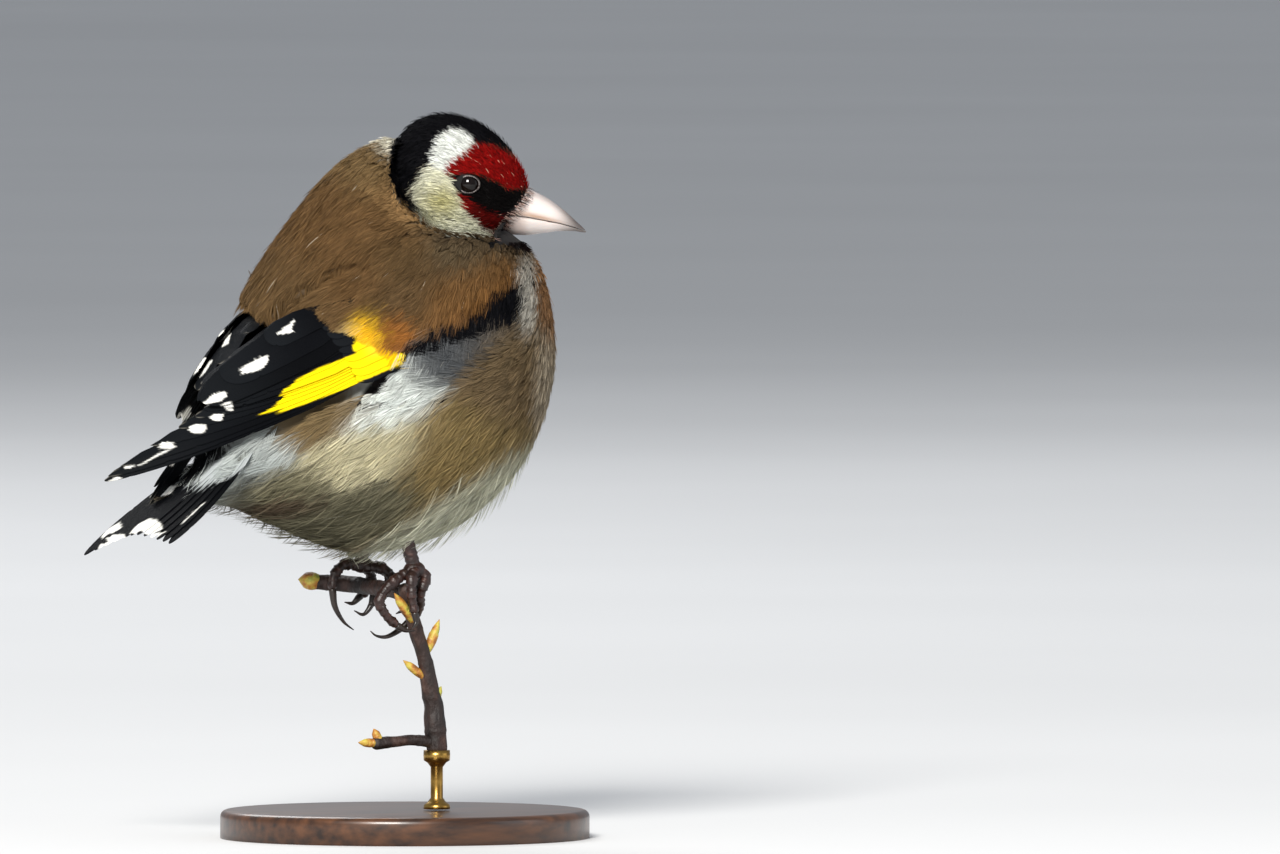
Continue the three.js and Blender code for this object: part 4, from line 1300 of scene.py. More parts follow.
@dataclass
class Plumes:
    """Small feathers before their barbs are drawn: roots, directions, lengths and what they lie on."""

    root: Array
    normal: Array
    way: Array
    length: Array
    ground: Array

    def chosen(self, keep: Array) -> "Plumes":
        """The plumes that a mask keeps."""
        rows = (self.root, self.normal, self.way, self.length, self.ground)
        return Plumes(*(row[keep] for row in rows))


@dataclass
class Coat:
    """The small feathers of body, head and thighs, as barbs laid along the plumage's outer surface."""

    hull: Hull
    plumage: Plumage
    wings: Sequence[Wing]
    folded: Sequence[Piece]
    tail: Piece
    lengths: tuple = ((0, 4.6), (15, 5.6), (35, 7), (55, 9), (78, 10))
    head_lengths: tuple = ((-13, 3.4), (-6, 2.7), (4, 2.2), (12, 1.6))
    spacing: float = 0.25
    head_spacing: float = 0.27
    rear_length: float = 2.4
    rear_spacing: float = 0.52
    rear_bare: float = -24
    bill_room: float = 0.25
    chin: float = -10.3
    back_edge: float = -21
    back_half: float = 7
    back_heights: Pair = (88, 104)
    rear_edge: float = -22
    rear_heights: Pair = (80, 95.5)
    thigh_top: float = 56
    thigh_at: float = -4.5
    thigh_reach: float = 6
    wing_heights: Pair = (89, 106)
    wing_front: float = -4.5
    tail_start: float = -26
    wisps: float = 0.04
    tufts: float = 0.1
    glints: float = 0.007
    breadth: float = 0.56
    reach: float = 6
    limit: float = 2.5
    cell_sizes: Pair = (0.6, 1.5)
    borders: tuple = (("neck", -99, 16.4), ("back", 16.4, 28), ("middle", 28, 46), ("hind", 46, 199))
    seed: int = 5

    def __post_init__(self) -> None:
        """Make the surfaces that the feathers lie on."""
        self.draw = np.random.default_rng(self.seed)
        self.grounds = {
            Ground.WINGS: self.joined(self.folded),
            Ground.TAIL: self.joined([self.tail]),
        }
        self.vanes = self.joined([*self.folded, self.tail], hull=False)

    def joined(self, pieces: Sequence[Piece], hull: bool = True) -> BVHTree:
        """A search tree of some pieces, with the pressed hull."""
        points, faces, count = [], [], 0
        meshes = [piece.data for piece in pieces] + ([self.hull.mesh] if hull else [])
        for mesh in meshes:
            places = np.empty(len(mesh.vertices) * 3, np.float32)
            mesh.vertices.foreach_get("co", places)
            points.append(places.reshape(-1, 3) / MM)
            faces += [tuple(v + count for v in p.vertices) for p in mesh.polygons]
            count += len(mesh.vertices)
        return BVHTree.FromPolygons(np.concatenate(points).tolist(), faces)

    def rooted(self) -> Plumes:
        """Roots spread over the hull, away from the eyes, the bill and what the wings hide."""
        points, normals = self.hull.outer, self.hull.outward
        local = HeadFrame.local(points)
        head = self.on_head(points)
        body = np.interp(down_spine(points), *zip(*self.lengths))
        above = Face.above_collar(local)
        small = np.minimum(np.interp(local[:, 0], *zip(*self.head_lengths)), 1.7 + 0.6 * np.maximum(0, above))
        body = np.minimum(body, 2.6 + 0.9 * np.maximum(0, -above))
        behind = forwardness(points, True)
        high = points[:, 2]
        back = (behind < self.back_edge) & (np.abs(points[:, 1]) < self.back_half)
        back &= within(high, *self.back_heights)
        body = np.where(back, np.minimum(body, np.maximum(2.5, (high - 93) * 1.3)), body)
        thigh = (high < self.thigh_top) & (np.abs(points[:, 0] - self.thigh_at) < self.thigh_reach)
        length = (body + (small - body) * head) * np.where(thigh, 0.6, 1)
        rear = (behind < self.rear_edge) & within(high, *self.rear_heights)
        length = np.where(rear, self.rear_length, length)
        share = np.where(head > 0.5, self.head_spacing, np.where(rear, self.rear_spacing, self.spacing))
        space = length * share
        free = self.hull.pressed < 0.3
        free &= ~((head > 0.5) & (Face.eye_share(local) < 1.0))
        free &= ~(rear & (forwardness(points, False) < self.rear_bare))
        free &= ~((Face.past_bill(local) > -self.bill_room) & (local[:, 2] > self.chin))
        order = [i for i in self.draw.permutation(len(points)) if free[i]]
        cells: dict[tuple, list[int]] = {}
        chosen = []
        for i in order:
            size = self.cell_sizes[0 if head[i] > 0.5 else 1]
            place, reach = points[i], space[i]
            home = tuple((place // size).astype(int)) + (size,)
            near = math.ceil(reach / size)
            others = (
                cells.get((home[0] + a, home[1] + b, home[2] + c, size), ())
                for a, b, c in product(range(-near, near + 1), repeat=3)
            )
            if all(((points[j] - place) ** 2).sum() > reach**2 for group in others for j in group):
                cells.setdefault(home, []).append(i)
                chosen.append(i)
        chosen = np.array(chosen)
        hidden = np.array([self.vanes.ray_cast(Vector(p + n * 0.3), Vector(n), 12)[0] is not None
                           for p, n in zip(points[chosen], normals[chosen])])
        chosen = chosen[~hidden]
        points, normals = points[chosen], normals[chosen]
        across, up = side_view(points).T
        low, top = self.wing_heights
        by_wing = ((up > low) | (across > self.wing_front)) & (up < top)
        ground = np.where(by_wing, Ground.WINGS.value, Ground.BODY.value)
        ground = np.where(points[:, 0] < self.tail_start, Ground.TAIL.value, ground)
        ways = self.plumage.ways(points, normals)
        ways = unit(ways + np.cross(normals, ways) * self.draw.normal(0, 0.1, (len(points), 1)))
        plumes = [(points, normals, ways, length[chosen], ground)]
        for wing in self.wings:
            cover = wing.cover(self.draw)
            plumes.append((*cover, np.full(len(cover[0]), Ground.WINGS.value)))
        return Plumes(*(np.concatenate(parts) for parts in zip(*plumes)))

    @staticmethod
    def on_head(points: Array) -> Array:
        """How much a place belongs to the head, from 0 to 1."""
        return Face.head_share(HeadFrame.local(points))

    def draped(self, plumes: Plumes) -> tuple[Array, Array]:
        """Control points and normals of each plume's patch, four along and three across."""
        side = np.cross(plumes.normal, plumes.way)
        count = len(plumes.root)
        points, normals = np.empty((count, 4, 3, 3)), np.empty((count, 4, 3, 3))
        for i, t in enumerate(STATIONS):
            for j, v in enumerate((-1, 0, 1)):
                flat = plumes.root + plumes.way * (plumes.length * t)[:, None]
                flat = flat + side * (plumes.length * self.breadth / 2 * v)[:, None]
                on, normal = self.hull.nearest(flat)
                for k, ground in enumerate(plumes.ground):
                    if ground:
                        start = Vector(on[k] + normal[k] * self.reach)
                        tree = self.grounds[Ground(int(ground))]
                        hit = tree.ray_cast(start, Vector(-normal[k]), 2 * self.reach)[0]
                        if hit is not None:
                            on[k] = hit
                away = on - flat
                far = np.linalg.norm(away, axis=1, keepdims=True)
                lifted = (away * normal).sum(axis=1, keepdims=True) > 0
                most = np.where(lifted, self.reach, self.limit)
                points[:, i, j] = flat + away * np.minimum(1, most / np.maximum(far, 1e-6))
                normals[:, i, j] = normal
        return points, unit(normals)

    def barbs(self, plumes: Plumes, style: BarbStyle) -> tuple[Array, Array, Array, Array]:
        """The barbs of some plumes.

        Args:
            plumes: The plumes.
            style: How their barbs are drawn.

        Returns:
            Points, tones, grain and bake map places, seven rows for each barb.
        """
        draw, many, count = self.draw, len(plumes.root), style.count
        shape, single = (many, count), (many, count, 1, 1)
        control, normals = self.draped(plumes)
        turn = np.linspace(-1, 1, count)[None] * 1.45 + draw.normal(0, 0.12, shape)
        end_t = 0.55 + 0.45 * np.cos(turn) + draw.normal(0, 0.035, shape)
        end_v = np.sin(turn) * (1 + draw.normal(0, 0.08, shape))
        start_t = np.maximum(end_t - draw.uniform(0.45, 0.8, shape), -0.08)
        t = start_t[..., None] + (end_t - start_t)[..., None] * BARB_STEPS
        v = end_v[..., None] * (0.12 + 0.88 * (1 - (1 - BARB_STEPS) ** 1.5))
        t, v = t.reshape(many, -1), v.reshape(many, -1)
        wave = draw.normal(0, 0.05, t.shape)
        along = [np.prod([(t - b) / (a - b) for b in STATIONS if b != a], axis=0) for a in STATIONS]
        across = np.stack([v * (v - 1) / 2, 1 - v**2, v * (v + 1) / 2], axis=-1)
        weight = np.stack(along, axis=-1)[..., :, None] * across[..., None, :]
        places = np.einsum("nqij,nijd->nqd", weight, control)
        outward = unit(np.einsum("nqij,nijd->nqd", weight, normals))
        loft = np.repeat(draw.uniform(0.2, 1, shape) ** 1.5, 4, axis=1)
        wisp = np.repeat(draw.random(shape) < self.wisps, 4, axis=1)
        tuft = np.repeat(draw.random(shape) < self.tufts, 4, axis=1)
        if style.fine:
            loft = loft + 2.5 * tuft
        else:
            loft = loft + wisp * (0.8 + 4 * (1 - ease(places[..., 2], 58, 72)))
        height = style.lift * np.clip(t, 0, 1.2) * loft - style.depth * np.clip(1 - t, 0, 1) ** 2
        height = height - 0.12 * v**2 + wave * style.lift
        places = (places + outward * height[..., None]).reshape(many, count, 4, 3)
        outward = outward.reshape(many, count, 4, 3)
        flat = unit(np.cross(outward, unit(np.gradient(places, axis=2))))
        roll = draw.normal(0, 0.5, single)
        wide = (flat * np.cos(roll) + outward * np.sin(roll))[:, :, :3]
        taper = style.half * np.array((1, 0.9, 0.62)) * draw.uniform(0.7, 1.3, (many, count, 1))
        points = ribbons(places, wide * taper[..., None]).reshape(-1, 3)
        tones = self.plumage.tones(places[:, :, 2].reshape(-1, 3), draw, style.ragged)
        tones = self.varied(tones.reshape(many, count, 1, 3), style)
        grain = np.zeros((many, count, 7, 3))
        grain[..., 1] = BARB_ROWS
        grain[..., 2] = draw.random((many, count, 1)) * GRAIN_RANGE
        chart = self.chart(plumes.root)[:, None, None] + np.zeros((many, count, 7, 2))
        chart += draw.uniform(-0.0013, 0.0013, (many, count, 1, 2))
        chart[..., 1] += BARB_ROWS * 0.0002
        chart[..., 0] += np.array((-1, 1, -1, 1, -1, 1, 0)) * 0.0001
        return points, tones.reshape(-1, 3), grain.reshape(-1, 3), chart.reshape(-1, 2)

    def varied(self, tones: Array, style: BarbStyle) -> Array:
        """Tones of the barbs' points, varied by plume and barb, with pale strays and glints on the red."""
        draw, (many, count) = self.draw, tones.shape[:2]
        plume = draw.normal(1, 0.05, (many, 1, 1, 1))
        barb = np.exp(draw.normal(0, style.vary, (many, count, 1, 1)))
        fade = np.array((0.7, 0.7, 0.9, 0.9, 1.02, 1.02, 1.12))[:, None]
        tones = np.clip(tones * plume * barb * fade, 0, 1)
        stray = draw.random((many, count, 1, 1)) < style.strays
        tones = np.where(stray, mixed(tones, tone("e9e4d4"), 0.45), tones)
        red = (tones[..., :1] > 5 * tones[..., 1:2]) & (tones[..., :1] > 0.1)
        glint = (draw.random((many, count, 1, 1)) < self.glints) & red
        return np.where(glint, tone("e8b9a0"), tones)

    def chart(self, points: Array) -> Array:
        """Places on the bake map: the body on the left part and the head on the right part, both unrolled."""
        head = self.on_head(points) > 0.5
        along = down_spine(points)
        off = points - (NECK_TOP + SPINE * along[:, None])
        around = np.arctan2(off[:, 1], off @ np.array((-0.738, 0, 0.674))) / (2 * np.pi) + 0.5
        body = np.column_stack([0.03 + 0.6 * around, 0.03 + 0.94 * np.clip((along + 12) / 92, 0, 1)])
        local = HeadFrame.local(points)
        around = np.arctan2(local[:, 1], local[:, 2]) / (2 * np.pi) + 0.5
        forward = np.clip((local[:, 0] + 14) / 28, 0, 1)
        skull = np.column_stack([0.68 + 0.29 * around, 0.03 + 0.94 * forward])
        return np.where(head[:, None], skull, body)

    def build(self) -> list[Piece]:
        """The whole coat, a piece for each region of either side."""
        plumes = self.rooted()
        head = self.on_head(plumes.root) > 0.5
        along = down_spine(plumes.root)
        left = plumes.root[:, 1] > np.where(head, -2 - 0.53 * (plumes.root[:, 0] - 10), 0)
        regions = {"head": head}
        for name, low, high in self.borders:
            regions[name] = ~head & (along >= low) & (along < high)
        return [
            self.region(f"coat_{name}_{side}", plumes.chosen(mask & half), name == "head")
            for name, mask in regions.items()
            for side, half in (("right", ~left), ("left", left))
        ]

    def region(self, name: str, group: Plumes, on_face: bool) -> Piece:
        """One piece of the coat.

        Args:
            name: The piece's name.
            group: Its plumes.
            on_face: Whether they are the head's.

        Returns:
            The piece.
        """
        style = HEAD_BARBS if on_face else BODY_BARBS
        points, *rest = self.barbs(group, style)
        if on_face:
            points = Face.cleared(points)
        grown = Growing()
        grown.add(points, strips(len(group.root) * style.count), *rest)
        slot = "face_plumage" if on_face else "plumage"
        return kept(grown.built(name, charted=True), CoatFinish(), slot)


# Face: eyes, bill and bristles, in the head's frame


@dataclass
class Eye:
    """One eye: a dark glossy ball and the beaded ring of bare skin round it."""

    name: str
    side: int
    radius: float = 2.45
    ring: tuple = (1.93, 1.58)
    thick: float = 0.15
    beads: int = 30

    def build(self) -> list[Piece]:
        """The ball and its ring."""
        x, y, z = Face.EYE
        ball = bmesh.new()
        bmesh.ops.create_uvsphere(ball, u_segments=48, v_segments=32, radius=self.radius)
        reshaped(ball, lambda p: HeadFrame.placed(p + (x, self.side * y, z)))
        eye = kept(finished(ball, f"eyeball_{self.name}"), EyeFinish(), "eye", f"eye_{self.name}")
        return [eye, self.lid()]

    def lid(self) -> Piece:
        """The ring round the eye, with a row of small beads."""
        x, y, z = Face.EYE
        bm = bmesh.new()
        upright = Matrix.Translation((1, 0, 0)) @ Matrix.Rotation(math.pi / 2, 4, "X")
        bmesh.ops.create_circle(bm, segments=14, radius=self.thick, matrix=upright)
        bmesh.ops.spin(
            bm, geom=bm.verts[:] + bm.edges[:], cent=(0, 0, 0), axis=(0, 0, 1), angle=math.tau,
            steps=180, use_merge=True,
        )
        bmesh.ops.remove_doubles(bm, verts=bm.verts, dist=1e-5)

        def oval(p: Array) -> Array:
            """Places on the beaded oval of the spun ring."""
            angle = np.arctan2(p[:, 1], p[:, 0])
            off = np.hypot(p[:, 0], p[:, 1]) - 1
            bead = 1 + 0.28 * np.cos(angle * self.beads)
            off, up = off * bead, p[:, 2] * bead
            across = np.cos(angle) * (self.ring[0] + off)
            high = np.sin(angle) * (self.ring[1] + off)
            deep = np.sqrt(np.maximum(self.radius**2 - across**2 - high**2, 0)) + up * 0.9 + 0.02
            return HeadFrame.placed(np.column_stack([x + across, self.side * (y + deep), z + high]))

        return kept(finished(reshaped(bm, oval), f"eye_ring_{self.name}"), LidFinish(), "eye")


@dataclass
class Bill:
    """The conical bill: two mandibles of horn that meet along the gape."""

    form: Loft = Loft(
        (
            ((6.8, -5.5), (6.8, -5.5), 0),
            ((9.5, -1.9), (8, -10), 3.7),
            ((12.6, -2.7), (11.3, -10.8), 3.7),
            ((15.4, -4), (14.6, -10.5), 2.9),
            ((18, -5.8), (17.5, -10.1), 1.9),
            ((20.5, -8), (20.3, -10.1), 0.95),
            ((22.6, -10.2), (22.6, -10.2), 0),
        )
    )
    gape: tuple = ((6, -6.4), (9.3, -6.6), (12.5, -7.1), (17.9, -8.4), (24, -10.4))
    gap: float = 0.12

    def half(self, upper: bool) -> Piece:
        """One mandible."""
        bm = self.form.shell(90, 64)

        def flatten(p: Array) -> Array:
            """The loft's places, with what lies past the gape pressed onto it."""
            line = np.interp(p[:, 0], *zip(*self.gape)) - np.abs(p[:, 1]) * 0.12
            if upper:
                p[:, 2] = np.maximum(p[:, 2], line)
            else:
                under = p[:, 2] > line - self.gap
                p[:, 2] = np.minimum(p[:, 2], line - self.gap)
                p[:, 1] *= np.where(under, 0.9, 0.97)
            return p

        reshaped(bm, flatten)
        local = np.array([v.co for v in bm.verts])
        reshaped(bm, HeadFrame.placed)
        name = "upper" if upper else "lower"
        piece = finished(bm, f"mandible_{name}")
        write_tones(piece.data, self.paint(local, upper))
        return kept(piece, HornFinish(), "bill_horn", f"bill_{name}")

    def paint(self, p: Array, upper: bool) -> Array:
        """The horn's colours: pale pinkish, dusky along the ridge and tip, brown along the gape."""
        shades = np.tile(tone("d0c6c2"), (len(p), 1))
        line = np.interp(p[:, 0], *zip(*self.gape))
        gape = np.exp(-((np.abs(p[:, 2] - line) / 0.45) ** 2)) * ease(p[:, 0], 21, 14)
        shades = mixed(shades, tone("8d5f2e"), gape * 0.75)
        top = self.form.at(np.interp(p[:, 0], *self.run), np.zeros(len(p)))[:, 2]
        ridge = np.exp(-(((top - p[:, 2]) / 0.9) ** 2)) * upper
        shades = mixed(shades, tone("5d5150"), ridge * 0.5 * ease(p[:, 0], 10, 16))
        tip = ease(p[:, 0], 16, 21.5)
        shades = mixed(shades, tone("2c2524"), tip * 0.85)
        base = 1 - ease(p[:, 0], 10.5, 13)
        return mixed(shades, tone("ac9a92"), base * 0.6)

    @cached_property
    def run(self) -> tuple[Array, Array]:
        """The share along the loft by the ridge's distance forwards."""
        share, rows = self.form.lines
        order = np.argsort(rows[:, 0])
        return rows[order, 0], share[order]

    def build(self) -> list[Piece]:
        """Both mandibles."""
        return [self.half(True), self.half(False)]


@dataclass
class Bristles:
    """The fine stiff bristles at the bill's base, which lie forwards over the nostrils."""

    count: int = 420
    half: float = 0.045
    rooted: Pair = (0.05, 0.9)
    low: float = -11
    parting: float = 0.5
    lengths: Pair = (0.9, 2.1)
    pale: float = 0.4

    def build(self, hull: Hull) -> Piece:
        """All bristles as one piece, rooted on the hull at the bill's base."""
        draw = np.random.default_rng(21)
        local = HeadFrame.local(hull.outer)
        behind = -Face.past_bill(local)
        near = within(behind, *self.rooted) & (local[:, 2] > self.low) & (np.abs(local[:, 1]) > self.parting)
        root = local[draw.choice(np.nonzero(near)[0], self.count)] + draw.normal(0, 0.12, (self.count, 3))
        out = unit(root - (10, 0, -6.2))
        length = draw.uniform(*self.lengths, self.count)
        way = unit(np.array((0.85, 0, -0.35)) + draw.normal(0, 0.16, (self.count, 3)) - out * 0.08)
        places = root[:, None] + way[:, None] * (length[:, None] * BARB_STEPS)[..., None]
        places = places + out[:, None] * (0.1 + 0.35 * BARB_STEPS * (1 - BARB_STEPS))[None, :, None]
        wide = unit(np.cross(out, way))[:, None] * (self.half * np.array((1, 0.9, 0.6)))[None, :, None]
        points = ribbons(places, wide)
        pale = draw.random((self.count, 1, 1)) < self.pale
        colours = np.where(pale, tone("a88a80"), tone("1c100e"))
        grown = Growing()
        tones = np.broadcast_to(colours, (self.count, 7, 3)).reshape(-1, 3)
        grain = np.zeros((self.count * 7, 3))
        grown.add(HeadFrame.placed(points.reshape(-1, 3)), strips(self.count), tones, grain)
        return kept(grown.built("bristles"), CoatFinish(), "face_plumage")


# Legs, twig and stand


FEET = {
    "right": {
        "palm": (-2.5, -8.5, 48.3),
        "outer": (
            ((-2.8, -9.2, 48.1), (-4, -10.4, 46.9), (-4.2, -10.6, 44.6), (-4, -10.5, 42.9),
             (-3.6, -10.4, 41.3)),
            ((-3.4, -10.4, 40.4), (-3.3, -10.6, 38.9), (-4.3, -11, 37.8)),
        ),
        "middle": (
            ((-2.2, -8.6, 48.3), (-0.5, -8.9, 47.1), (-1.1, -8.8, 44.9), (-1.2, -8, 43.2), (-0.4, -6.2, 41),
             (-0.7, -5.2, 39.9)),
            ((-1.2, -4.8, 39.2), (-3.6, -4.6, 37.3), (-6.4, -5, 36.2), (-8.7, -5.5, 36.5), (-10, -6, 37.3)),
        ),
        "inner": (
            ((-2.4, -7.8, 48.2), (-0.8, -5.8, 47.4), (-0.6, -4.6, 45.2), (-0.9, -4.2, 43.2)),
            ((-1.1, -3.9, 42.3), (-1.8, -3.3, 41), (-3.2, -2.8, 40.2)),
        ),
        "hind": (
            ((-3, -8.6, 48.2), (-6, -9, 46.8), (-9.1, -9, 44.2), (-9.8, -9, 42.6), (-8.2, -9, 39.9),
             (-6.8, -9, 38.8)),
            ((-6, -9, 38.2), (-4.6, -9.3, 37.5), (-3, -9.6, 37.4)),
        ),
    },
    "left": {
        "palm": (-4.4, 8, 48.6),
        "outer": (
            ((-4, 8.8, 48.4), (-1.8, 10.6, 47.6), (-0.9, 11.2, 45.4), (-2.3, 11.4, 43.4)),
            ((-3.1, 11.4, 42.8), (-4.6, 11.4, 41.6), (-6.2, 11.3, 41.8)),
        ),
        "middle": (
            ((-3.9, 8, 48.4), (-0.6, 7.8, 47.9), (0.9, 7.6, 46.2), (0.4, 7.6, 44.4), (-1.4, 7.8, 43.4)),
            ((-2.3, 7.8, 42.9), (-2.7, 7.8, 41.4), (-4.3, 7.8, 39.7), (-6.1, 7.8, 40.4)),
        ),
        "inner": (
            ((-4, 7.4, 48.4), (-1.4, 5, 47.7), (-0.3, 4, 45.8), (-1.5, 3.9, 43.7)),
            ((-2.3, 3.9, 43), (-3.5, 3.9, 41.7), (-5.1, 4, 41.6)),
        ),
        "hind": (
            ((-5, 8, 48.5), (-8, 8, 48.7), (-10, 8, 46.9), (-10.4, 8, 45)),
            ((-10.4, 8, 44.1), (-9.9, 8, 41.2), (-8.1, 8, 38.4), (-6.2, 8, 37)),
        ),
    },
}
TOES = ("outer", "middle", "inner", "hind")


@dataclass
class Leg:
    """One leg: the scaled shank, the gripping toes and their claws."""

    name: str
    shank: float = 1.25
    toe: Pair = (1.12, 0.8)
    claw: Pair = (0.68, 0.1)
    scute: float = 1.15

    def scales(self, depth: float) -> Relief:
        """Relief of the overlapping scales on a toe's or shank's upper side."""

        def relief(along: Array, angle: Array) -> Array:
            """A step at each scale's end, and a beaded underside."""
            step = (along / self.scute) % 1
            return 1 + depth * (step**2 - 0.4) + 0.03 * np.sin(angle * 3 + along)

        return relief

    def build(self) -> list[Piece]:
        """Shank, foot and four claws."""
        thigh, foot = THIGHS[self.name], FEET[self.name]
        palm = np.array(foot["palm"])
        top = np.array((*thigh["at"], thigh["bottom"] + 2.5))
        shank = swept(even_path([top, (top + palm) / 2, palm], 30), np.full(30, self.shank), 28,
                      self.scales(0.12))
        tarsus = kept(finished(shank, f"shank_{self.name}"), LegFinish(), "leg", f"tarsus_{self.name}")
        made, parts = [tarsus], []
        ball = bmesh.new()
        bmesh.ops.create_icosphere(ball, subdivisions=4, radius=1)
        parts.append(reshaped(ball, lambda p: p * (2, 1.7, 1.5) + palm))
        for toe in TOES:
            path, claw = foot[toe]
            line = even_path(path, 70)
            share = np.linspace(0, 1, 70)
            knuckle = 1 + 0.1 * np.cos(share * np.pi * 6)
            girth = (self.toe[0] + (self.toe[1] - self.toe[0]) * share) * knuckle
            parts.append(swept(line, girth, 24, self.scales(0.2)))
            reach = self.claw[0] + (self.claw[1] - self.claw[0]) * np.linspace(0, 1, 24) ** 1.2
            horn = finished(swept(even_path(claw, 24), reach, 16), f"talon_{self.name}_{toe}")
            made.append(kept(horn, ClawFinish(), "claw_horn", f"claw_{self.name}_{toe}"))
        made.append(kept(joined_mesh(parts, f"toes_{self.name}"), LegFinish(), "leg", f"foot_{self.name}"))
        return made


@dataclass(frozen=True)
class Bud:
    """A scaly bud: where it leaves the twig, its tip and its radius."""

    start: Triple
    end: Triple
    radius: float


@dataclass
class Twig:
    """The cut twig: a knotty stem, its spur and short side shoot, and their buds."""

    branches: tuple = (
        (
            ((3.3, -6, 16.3), (3.2, -6, 18), (2.9, -6, 21.1), (2.7, -6, 23.6), (1.9, -6.2, 26.2),
             (0.5, -6.7, 32.2), (-1.6, -7.2, 37.6), (-4, -7.8, 44.6)),
            (1.85, 1.95, 1.65, 1.5, 1.25, 1.32, 1.22, 1.3),
        ),
        (
            ((-3.7, -7.6, 43.9), (-4.2, -2, 44.5), (-4.6, 5, 44.8), (-5.6, 9, 45), (-8.6, 12.3, 45.3),
             (-10.6, 13.6, 45.4)),
            (1.3, 1.35, 1.4, 1.45, 1.5, 1.3),
        ),
        (((2.6, -6, 17.2), (-1.6, -6, 17.7), (-5.4, -6, 17.5), (-8.8, -6, 17.3)), (1.1, 0.95, 0.95, 1.15)),
    )
    buds: tuple = (
        Bud((-2.9, -8.2, 39.3), (-7.2, -9.7, 44.2), 0.85),
        Bud((1.2, -6.7, 33.8), (3.2, -7.2, 39.2), 0.85),
        Bud((0.4, -6.5, 28.9), (-3.7, -6.5, 32), 0.75),
        Bud((2.5, -6.2, 24.6), (4, -6.4, 27.2), 0.8),
        Bud((-10.1, 13.3, 45.4), (-13.4, 15.4, 45.9), 1.6),
        Bud((-8.4, -6, 17.3), (-12.6, -6.2, 17.5), 0.8),
        Bud((-8.2, -6, 17.4), (-9.4, -6, 19.9), 0.8),
    )

    def bark(self, along: Array, angle: Array) -> Array:
        """Relief of the bark: rings of old scars, ridges and small swellings."""
        rings = 0.05 * np.exp(-(((along % 6.3) - 3) / 0.35) ** 2)
        return 1 + rings + 0.03 * np.sin(angle * 5 + along * 0.4) + 0.02 * np.sin(angle * 3 - along * 1.7)

    def build(self) -> list[Piece]:
        """The twig's wood and its buds."""
        parts = []
        for path, radii in self.branches:
            line = even_path(path, 120)
            reach = np.interp(np.linspace(0, 1, 120), np.linspace(0, 1, len(radii)), radii)
            parts.append(swept(line, reach, 40, self.bark))
        wood = kept(joined_mesh(parts, "twig"), BarkFinish(), "bark", "perch")
        shoots = [shape for bud in self.buds for shape in self.scaled(bud)]
        return [wood, kept(joined_mesh(shoots, "buds"), BudFinish(), "bark")]

    def scaled(self, bud: Bud) -> list[Form]:
        """A bud as three overlapping sheaths of scales."""
        start, end = np.array(bud.start), np.array(bud.end)
        made = []
        for layer, (low, high) in enumerate(((0, 0.5), (0.08, 0.74), (0.2, 1))):
            share = np.linspace(low, high, 20)
            line = start + (end - start) * share[:, None]
            full = 0.55 + 0.9 * np.sin(np.pi * (0.12 + 0.86 * share)) ** 0.8
            close = np.sqrt(np.clip((high - share) / (0.16 * (1 + layer * 0.4)), 0.02, 1))
            made.append(swept(line, bud.radius * 0.7 * full * close * (1.06 - layer * 0.06), 18,
                              lambda a, g, layer=layer: 1 + 0.05 * np.cos(2 * g + layer * 2)))
        return made


@dataclass
class Stand:
    """The display stand: a turned wooden disc and a brass rod with a cup at each end."""

    radius: float = 33
    height: float = 5
    edge: float = 1.2
    at: Pair = (3.3, -6)
    rod_top: float = 15.8
    rod_radii: tuple = (2.35, 2.4, 2.3, 1.7, 1.1, 1.1, 1.1, 1.7, 2.35, 2.4, 2.35)

    def build(self) -> list[Piece]:
        """The disc and the rod."""
        disc = bmesh.new()
        bmesh.ops.create_circle(disc, cap_ends=True, segments=160, radius=self.radius)
        top = bmesh.ops.extrude_face_region(disc, geom=disc.faces[:])["geom"]
        raised = [v for v in top if isinstance(v, bmesh.types.BMVert)]
        bmesh.ops.translate(disc, vec=(0, 0, self.height), verts=raised)
        rims = [e for e in disc.edges if all(v.co.z > 1 for v in e.verts)]
        bmesh.ops.bevel(
            disc, geom=rims, offset=self.edge, segments=6, affect="EDGES", profile=0.5, material=-1
        )
        base = kept(finished(disc, "base"), WoodFinish(), "stand_wood", "stand_base")
        return [base, kept(finished(self.turned(), "rod"), BrassFinish(), "stand_brass", "stand_rod")]

    def turned(self) -> Form:
        """The turned rod with its cups."""
        low, high = self.height + 0.3, self.rod_top
        heights = np.array((low, low + 0.4, low + 0.8, low + 1.2, low + 2, 10, high - 3, high - 2.2,
                            high - 1.8, high - 0.9, high))
        line = np.column_stack([np.tile(self.at, (len(heights), 1)), heights])
        radii = np.array(self.rod_radii)

        def place(ring: Array, angle: Array) -> Array:
            """Points of the rod."""
            out = np.column_stack([np.cos(angle), np.sin(angle), np.zeros(len(angle))])
            return line[ring] + out * radii[ring][:, None]

        return wrapped(len(line), 64, place)


# Finishes


@dataclass(frozen=True)
class Noise:
    """Noise over the object's own space: its scale, detail and stretch."""

    scale: float
    detail: float = 4
    stretch: Triple = (1, 1, 1)


